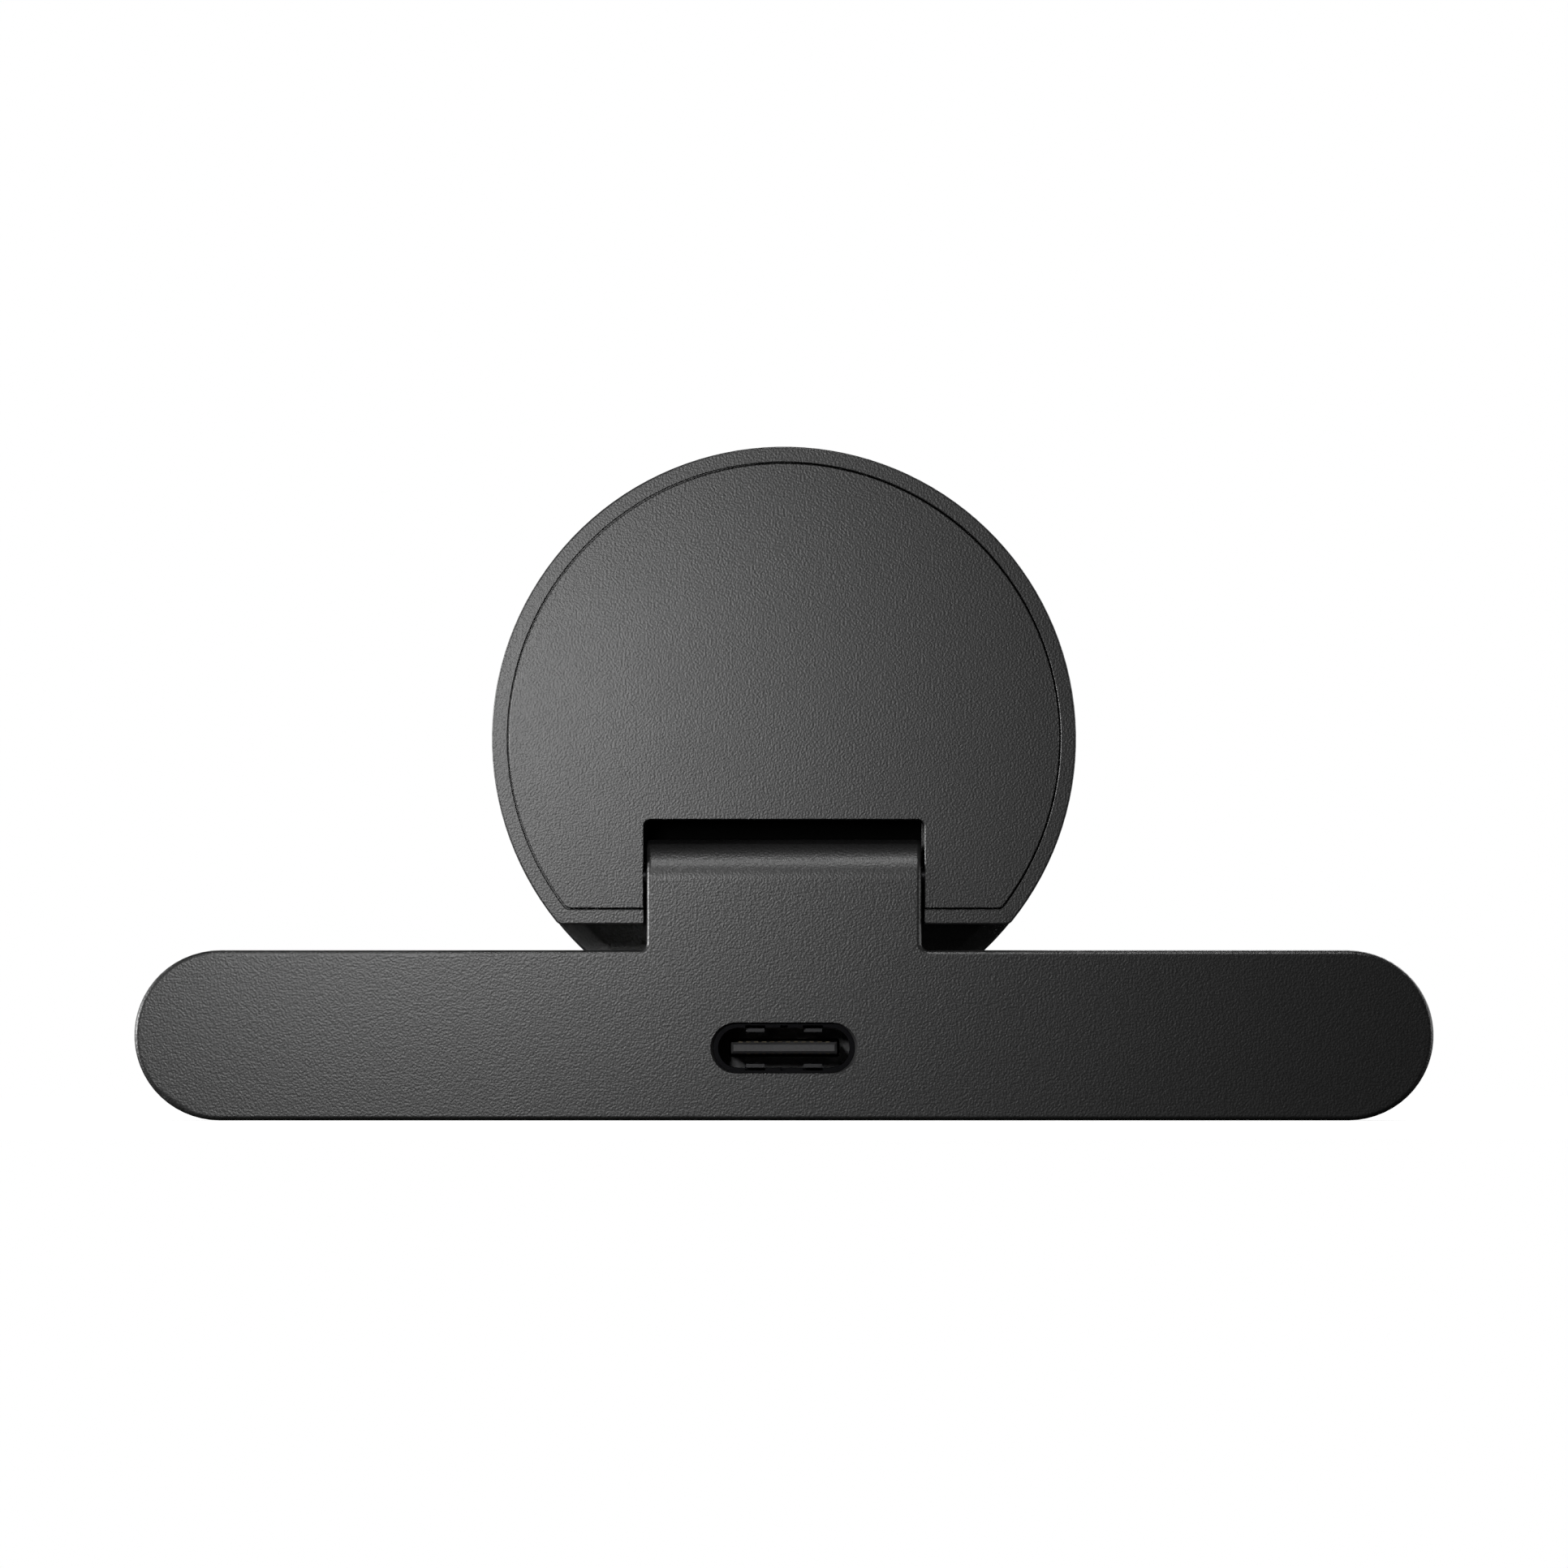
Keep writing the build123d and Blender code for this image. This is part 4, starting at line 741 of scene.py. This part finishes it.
class WEBCAM_OT_lens(bpy.types.Operator):
    """Build the lens barrel with its ridged hood, the iris, the glass and the cover glass."""

    bl_idname = "webcam.lens"
    bl_label = "Lens"

    def execute(self, context):
        settings = context.scene.webcam_lens
        black = plain_finish("lens_black", (0.008, 0.008, 0.009), 0.5, 0.2 * MM, Specular_IOR_Level=0.15)
        low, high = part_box("lens_barrel")
        centre = middle("lens_barrel")
        radius = (high.x - low.x) / 2
        glass_low, glass_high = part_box("lens_front_element")
        glass_radius = (glass_high.x - glass_low.x) / 2
        # barrel: flared mouth, seat for the glass, bore with the iris
        seat_y = glass_high.y
        bore = glass_radius + GLASS_ROOM
        outline = [(radius - LENS_CHAMFER, low.y), (radius, low.y + LENS_CHAMFER), (radius, high.y)]
        outline += [(settings.iris, high.y), (settings.iris, seat_y + IRIS_DEPTH)]
        outline += [(glass_radius - SEAT_WIDTH, seat_y), (bore, seat_y), (bore, glass_low.y)]
        outline += [(radius - MOUTH_LIP - MOUTH_STEP, low.y + MOUTH_DROP), (radius - MOUTH_LIP, low.y)]
        barrel = lathe("lens_barrel_turned", outline, centre)
        add_piece("lens_barrel_turned", barrel, "head", black, ("lens_barrel",), 25.0)
        # ridges on the inside of the hood, in front of the barrel
        guide_low, guide_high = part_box("shutter_guide")
        hood_start = guide_low.y + (guide_high.y - guide_low.y) * HOOD_START
        hood_depth = guide_high.y - hood_start - HOOD_GAP
        window_low, window_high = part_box("lens_window")
        window_radius = (window_high.x - window_low.x) / 2
        hood_radius = window_radius - HOOD_ROOM
        pitch = hood_depth / settings.baffles
        ridge = [(hood_radius, 0.0), (hood_radius, pitch * RIDGE_SHARE)]
        ridge += [(hood_radius - HOOD_RIDGE, pitch / 2)]
        unit = lathe("hood_ridge", ridge, (0.0, 0.0, 0.0), 96)
        start = (centre.x, hood_start, centre.z)
        ridges = repeated("lens_hood_ridges", unit, black, settings.baffles, start, (0.0, pitch, 0.0))
        add_piece("lens_hood_ridges", ridges, "head", black, (), 20.0)
        # front element: a domed coated glass
        tint = (*settings.coating, 1.0)
        coated = clear_glass("coated_glass", (0.80, 0.82, 0.95), 0.01, Coat_Weight=1.0, Coat_Tint=tint)
        sag = glass_high.y - glass_low.y - GLASS_RIM
        curve = (glass_radius ** 2 + sag ** 2) / (2 * sag)
        dome = []
        for step in range(DOME_STEPS + 1):
            r = glass_radius * step / DOME_STEPS
            dome.append((r, glass_low.y + curve - math.sqrt(curve ** 2 - r ** 2)))
        hollow = []
        for step in range(HOLLOW_STEPS + 1):
            r = (glass_radius - SEAT_WIDTH) * (HOLLOW_STEPS - step) / HOLLOW_STEPS
            hollow.append((r, seat_y - HOLLOW_DEPTH * (1 - (r / glass_radius) ** 2)))
        front = lathe("front_glass", dome + [(glass_radius, seat_y - RIM_SEAM)] + hollow, centre)
        add_piece("front_glass", front, "head", coated, ("lens_front_element",), 40.0)
        # cover glass with a polished bevel
        tinted = clear_glass("cover_glass", (0.55, 0.57, 0.60), 0.008, Specular_IOR_Level=0.6)
        outline = [(0.0, window_low.y), (window_radius - COVER_BEVEL, window_low.y)]
        outline += [(window_radius, window_low.y + COVER_BEVEL), (window_radius, window_high.y)]
        outline += [(0.0, window_high.y)]
        cover = lathe("cover_glass", outline, middle("lens_window"))
        add_piece("cover_glass", cover, "head", tinted, ("lens_window",), 25.0)
        return {"FINISHED"}


class WEBCAM_OT_shutter(bpy.types.Operator):
    """Finish the shutter blade and build the ridged knob."""

    bl_idname = "webcam.shutter"
    bl_label = "Privacy shutter"

    def execute(self, context):
        finish_node("shutter_blade", satin_black())
        grey = moulded_grey(context.scene.webcam_moulding)
        settings = context.scene.webcam_shutter
        low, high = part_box("shutter_knob")
        size = high - low
        centre = middle("shutter_knob")
        body_low = Vector((-size.x / 2, -size.z / 2, 0.0))
        body_high = Vector((size.x / 2, size.z / 2, size.y - settings.ridge_radius))
        body = rounded_plate("knob_body", body_low, body_high, size.z / 2 - KNOB_ROOM, KNOB_EASE)
        body.transform(Matrix.Translation(centre) @ Matrix.Translation((0.0, size.y / 2, 0.0))
                       @ Matrix.Rotation(math.radians(90), 4, "X"))
        unit = rod("knob_ridge", settings.ridge_radius, size.z - 4 * KNOB_EASE, "Z")
        pitch = (size.x - size.z) / (settings.ridges - 1)
        start = (centre.x - (size.x - size.z) / 2, low.y + settings.ridge_radius, centre.z)
        ridges = repeated("knob_ridges", unit, grey, settings.ridges, start, (pitch, 0.0, 0.0))
        add_piece("ridged_knob", joined("ridged_knob", body, ridges), "shutter", grey,
                  ("shutter_knob",))
        return {"FINISHED"}


class WEBCAM_OT_socket(bpy.types.Operator):
    """Finish the USB-C socket: shell of near-black metal whose darkness is painted shade, tongue and its two
    rows of contacts.
    """

    bl_idname = "webcam.socket"
    bl_label = "Socket"

    def execute(self, context):
        # the shell's near-black metal colour is painted shade of the socket's recess
        plated = sheet_metal("shell_painted_shade", (0.010, 0.010, 0.011), 0.5, 0.3 * MM)
        finish_node("usb_c_shell", plated)
        tongue = plain_finish("tongue_plastic", (0.065, 0.065, 0.067), 0.45, 0.1 * MM)
        finish_node("usb_c_tongue", tongue)
        gilt = sheet_metal("dark_gilt", (0.16, 0.14, 0.10), 0.4, 0.2 * MM)
        finish_node("usb_c_contacts", gilt)
        # leaf springs behind the mouth, in a row of two above and below the tongue
        settings = context.scene.webcam_socket
        leaf_metal = sheet_metal("spring_steel", (0.055, 0.055, 0.057), 0.45, 0.2 * MM)
        shell_low, shell_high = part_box("usb_c_shell")
        centre = middle("usb_c_shell")
        reach = Vector((settings.leaf_width, LEAF_LENGTH, LEAF_HEIGHT)) / 2
        leaf = box_mesh("leaf", -reach, reach)
        rows = []
        rise = (shell_high.z - shell_low.z) / 2 - settings.sheet - LEAF_GAP
        for level in (-1, 1):
            start = (centre.x - settings.leaf_spread, shell_high.y - LEAF_SETBACK, centre.z + level * rise)
            step = (2 * settings.leaf_spread, 0.0, 0.0)
            rows.append(repeated("leaf_row", leaf.copy(), leaf_metal, 2, start, step))
        add_piece("leaf_springs", joined("leaf_springs", *rows), "stand", leaf_metal)
        # grey lining of the shell's end, with a dark slit left round the tongue
        lining = plain_finish("socket_lining", (0.16, 0.16, 0.164), 0.7, 0.2 * MM)
        low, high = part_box("usb_c_tongue")
        wall = settings.sheet + LINING_ROOM
        ring = stadium_ring(
            "socket_lining", centre,
            shell_high.x - shell_low.x - 2 * wall, shell_high.z - shell_low.z - 2 * wall,
            high.x - low.x + 2 * LINING_SLIT, high.z - low.z + 2 * LINING_SLIT,
            low.y + LINING_START, low.y + LINING_END,
        )
        add_piece("socket_lining", ring, "stand", lining)
        return {"FINISHED"}


class WEBCAM_OT_foot(bpy.types.Operator):
    """Build the rubber pad under the bar, with a row of rounded ribs."""

    bl_idname = "webcam.foot"
    bl_label = "Foot pad"

    def execute(self, context):
        settings = context.scene.webcam_foot
        rubber = foot_rubber()
        low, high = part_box("foot_pad")
        plate_low = Vector((low.x, low.y, low.z + settings.rib_radius * RIB_SINK))
        plate = rounded_plate("pad_plate", plate_low, high, PAD_CORNER, PAD_EDGE)
        length = high.y - low.y - 2 * RIB_END_ROOM
        unit = rod("pad_rib", settings.rib_radius, length, "Y")
        step = (high.x - low.x - 2 * RIB_SIDE_ROOM) / (settings.ribs - 1)
        start = (low.x + RIB_SIDE_ROOM, (low.y + high.y) / 2, low.z + settings.rib_radius)
        ribs = repeated("pad_ribs", unit, rubber, settings.ribs, start, (step, 0.0, 0.0))
        mesh = joined("ribbed_foot_pad", plate, ribs)
        add_piece("ribbed_foot_pad", mesh, "stand", rubber, ("foot_pad",))
        return {"FINISHED"}


class WEBCAM_OT_insides(bpy.types.Operator):
    """Give every inner part its finish."""

    bl_idname = "webcam.insides"
    bl_label = "Inner parts"

    def execute(self, context):
        steel = sheet_metal("plain_steel", (0.42, 0.42, 0.43), 0.34, 0.4 * MM, (1.0, 1.0, 6.0))
        zinc = sheet_metal("zinc_screw", (0.36, 0.37, 0.39), 0.3, 0.25 * MM)
        bronze = sheet_metal("oiled_bronze", (0.48, 0.30, 0.15), 0.4, 0.3 * MM)
        spreader = sheet_metal("spreader_aluminium", (0.62, 0.63, 0.64), 0.35, 0.5 * MM, (6.0, 1.0, 1.0))
        board = solder_mask()
        chip = plain_finish("chip_package", (0.018, 0.018, 0.019), 0.5, 0.2 * MM)
        film = plain_finish("amber_film", (0.42, 0.20, 0.04), 0.28, 0.8 * MM, Coat_Weight=0.4)
        tape = plain_finish("tape_film", (0.03, 0.03, 0.03), 0.7, 0.4 * MM)
        pad = plain_finish("thermal_rubber", (0.24, 0.30, 0.40), 0.8, 0.4 * MM)
        sensor = plain_finish("sensor_die", (0.04, 0.03, 0.06), 0.15, 0.3 * MM, Coat_Weight=0.8)
        light = plain_finish("led_body", (0.75, 0.74, 0.66), 0.4, 0.2 * MM)
        plated = sheet_metal("plated_can", (0.34, 0.34, 0.35), 0.32, 0.3 * MM)
        black = satin_black()
        rubber = foot_rubber()
        blue_glass = clear_glass("filter_glass", (0.45, 0.75, 0.80))
        clear = clear_glass("inner_glass", (0.90, 0.92, 0.95))
        finishes = {
            "plain_steel": steel, "screw_steel": zinc, "bush_bronze": bronze, "circuit_board": board,
            "chip_black": chip, "flex_film": film, "tape_film": tape, "thermal_rubber": pad,
            "spreader_aluminium": spreader, "sensor_glass": sensor, "filter_glass": blue_glass,
            "lens_glass": clear, "led_body": light, "socket_metal": plated, "black_plastic": black,
            "foot_rubber": rubber,
        }
        blackened = sheet_metal("blackened_steel", (0.02, 0.02, 0.021), 0.4, 0.3 * MM)
        slot_of = {part["node"]: part["material_slot"] for part in frame["record"]["subparts"]}
        for node, piece in frame["nodes"].items():
            finish = blackened if node == "hinge_shaft" else finishes.get(slot_of[node])
            if finish:
                piece.data.materials.clear()
                piece.data.materials.append(finish)
        return {"FINISHED"}


class WEBCAM_OT_studio(bpy.types.Operator):
    """Set up the pale floor, the soft light and the level camera behind the webcam."""

    bl_idname = "webcam.studio"
    bl_label = "Studio"

    def execute(self, context):
        settings = context.scene.webcam_studio
        scene = context.scene
        scene.view_settings.view_transform = "Standard"
        back_y = CAD_BOX[1][1]
        add_camera(scene, settings, back_y)
        add_floor(scene)
        add_world(scene)
        back = Vector((0.0, back_y, 0.0))
        key_place = back + Vector(KEY_PLACE)
        key = add_light("key", "SPOT", key_place, back + Vector(KEY_TARGET), settings.key_power)
        key.data.spot_size = KEY_CONE
        key.data.spot_blend = 1.0
        key.data.shadow_soft_size = KEY_SIZE
        target = Vector((0.0, back_y, TARGET_HEIGHT))
        high = add_light("high_softbox", "AREA", back + Vector(HIGH_PLACE), target, settings.high_power)
        high.data.size = HIGH_SIZE
        for side, power in STRIP_POWERS:
            place = back + Vector((side * SIDE_REACH, *STRIP_PLACE))
            strip = add_light("side_strip", "AREA", place, OBJECT_MIDDLE, power)
            strip.data.size = STRIP_SIZE
            place = Vector((side * SIDE_REACH, *WING_PLACE))
            wing = add_light("side_wing", "AREA", place, OBJECT_MIDDLE, WING_POWER)
            wing.data.size = WING_SIZE
        front = add_light("front_softbox", "AREA", FRONT_PLACE, OBJECT_MIDDLE, FRONT_POWER)
        front.data.size = FRONT_SIZE
        return {"FINISHED"}


def add_camera(scene, settings, back_y):
    """Level camera behind the webcam, far off with a long lens."""
    data = bpy.data.cameras.new("studio_camera")
    data.lens = settings.lens
    data.sensor_width = SENSOR_WIDTH
    distance = settings.frame_width * settings.lens / data.sensor_width
    data.clip_start = distance / 10
    data.clip_end = distance * 5
    camera = bpy.data.objects.new("studio_camera", data)
    camera.location = (0.0, back_y + distance, settings.camera_height)
    camera.rotation_euler = (math.radians(90), 0.0, math.radians(180))
    scene.collection.objects.link(camera)
    scene.camera = camera


def add_light(name, kind, place, target, power):
    """Lamp at a place, turned towards a target."""
    data = bpy.data.lights.new(name, kind)
    data.energy = power
    lamp = bpy.data.objects.new(name, data)
    lamp.location = place
    lamp.rotation_euler = (target - place).to_track_quat("-Z", "Y").to_euler()
    lamp.visible_camera = False
    bpy.context.scene.collection.objects.link(lamp)
    return lamp


def add_floor(scene):
    """Round pale floor that melts into the white surroundings at its rim."""
    shape = bmesh.new()
    bmesh.ops.create_circle(shape, cap_ends=True, segments=128, radius=FLOOR_RADIUS)
    mesh = new_mesh("floor", shape)
    material = bpy.data.materials.new("pale_floor")
    material.use_nodes = True
    nodes, links = material.node_tree.nodes, material.node_tree.links
    shader = nodes["Principled BSDF"]
    shader.inputs["Roughness"].default_value = 0.9
    shader.inputs["Specular IOR Level"].default_value = 0.0
    shader.inputs["Emission Color"].default_value = (1.0, 1.0, 1.0, 1.0)
    place = nodes.new("ShaderNodeTexCoord")
    reach = nodes.new("ShaderNodeVectorMath")
    reach.operation = "LENGTH"
    links.new(place.outputs["Object"], reach.inputs[0])
    for socket, (near, far) in (("Emission Strength", FLOOR_GLOW), ("Base Color", FLOOR_TINT)):
        fade = nodes.new("ShaderNodeMapRange")
        fade.interpolation_type = "SMOOTHSTEP"
        fade.inputs["From Min"].default_value = FLOOR_FADE[0]
        fade.inputs["From Max"].default_value = FLOOR_FADE[1]
        fade.inputs["To Min"].default_value = near
        fade.inputs["To Max"].default_value = far
        links.new(reach.outputs["Value"], fade.inputs["Value"])
        links.new(fade.outputs["Result"], shader.inputs[socket])
    mesh.materials.append(material)
    floor = bpy.data.objects.new("floor", mesh)
    floor.location.z = -FLOOR_DROP
    floor.visible_diffuse = False
    floor.visible_glossy = False
    scene.collection.objects.link(floor)


def add_world(scene):
    """White surroundings that light the webcam only faintly."""
    world = bpy.data.worlds.new("studio_world")
    world.use_nodes = True
    nodes, links = world.node_tree.nodes, world.node_tree.links
    background = nodes["Background"]
    background.inputs["Color"].default_value = (1.0, 1.0, 1.0, 1.0)
    path = nodes.new("ShaderNodeLightPath")
    strength = nodes.new("ShaderNodeMapRange")
    strength.inputs["To Min"].default_value = SURROUNDINGS_LIGHT
    strength.inputs["To Max"].default_value = 1.0
    links.new(path.outputs["Is Camera Ray"], strength.inputs["Value"])
    links.new(strength.outputs["Result"], background.inputs["Strength"])
    scene.world = world


class WEBCAM_PT_panel(bpy.types.Panel):
    """Sidebar panel with the settings and the steps."""

    bl_idname = "WEBCAM_PT_panel"
    bl_label = "Webcam"
    bl_space_type = "VIEW_3D"
    bl_region_type = "UI"
    bl_category = "Webcam"

    def draw(self, context):
        layout = self.layout
        for name, settings in SETTINGS.items():
            box = layout.box()
            box.label(text=settings.__doc__)
            group = getattr(context.scene, name)
            for key in settings.__annotations__:
                box.prop(group, key)
        for operator in OPERATORS:
            layout.operator(operator.bl_idname)


SETTINGS = {
    "webcam_moulding": WebcamMouldingSettings,
    "webcam_lens": WebcamLensSettings,
    "webcam_front": WebcamFrontSettings,
    "webcam_shutter": WebcamShutterSettings,
    "webcam_socket": WebcamSocketSettings,
    "webcam_foot": WebcamFootSettings,
    "webcam_studio": WebcamStudioSettings,
}
OPERATORS = (
    WEBCAM_OT_studio,
    WEBCAM_OT_insides,
    WEBCAM_OT_mouldings,
    WEBCAM_OT_front,
    WEBCAM_OT_lens,
    WEBCAM_OT_shutter,
    WEBCAM_OT_socket,
    WEBCAM_OT_foot,
)


def register():
    for name, settings in SETTINGS.items():
        bpy.utils.register_class(settings)
        setattr(bpy.types.Scene, name, PointerProperty(type=settings))
    for operator in OPERATORS:
        bpy.utils.register_class(operator)
    bpy.utils.register_class(WEBCAM_PT_panel)


def unregister():
    bpy.utils.unregister_class(WEBCAM_PT_panel)
    for operator in reversed(OPERATORS):
        bpy.utils.unregister_class(operator)
    for name, settings in SETTINGS.items():
        delattr(bpy.types.Scene, name)
        bpy.utils.unregister_class(settings)


def main():
    register()
    bpy.ops.webcam.studio()
    bpy.ops.webcam.insides()
    bpy.ops.webcam.mouldings()
    bpy.ops.webcam.front()
    bpy.ops.webcam.lens()
    bpy.ops.webcam.shutter()
    bpy.ops.webcam.socket()
    bpy.ops.webcam.foot()


if __name__ == "__main__":
    main()
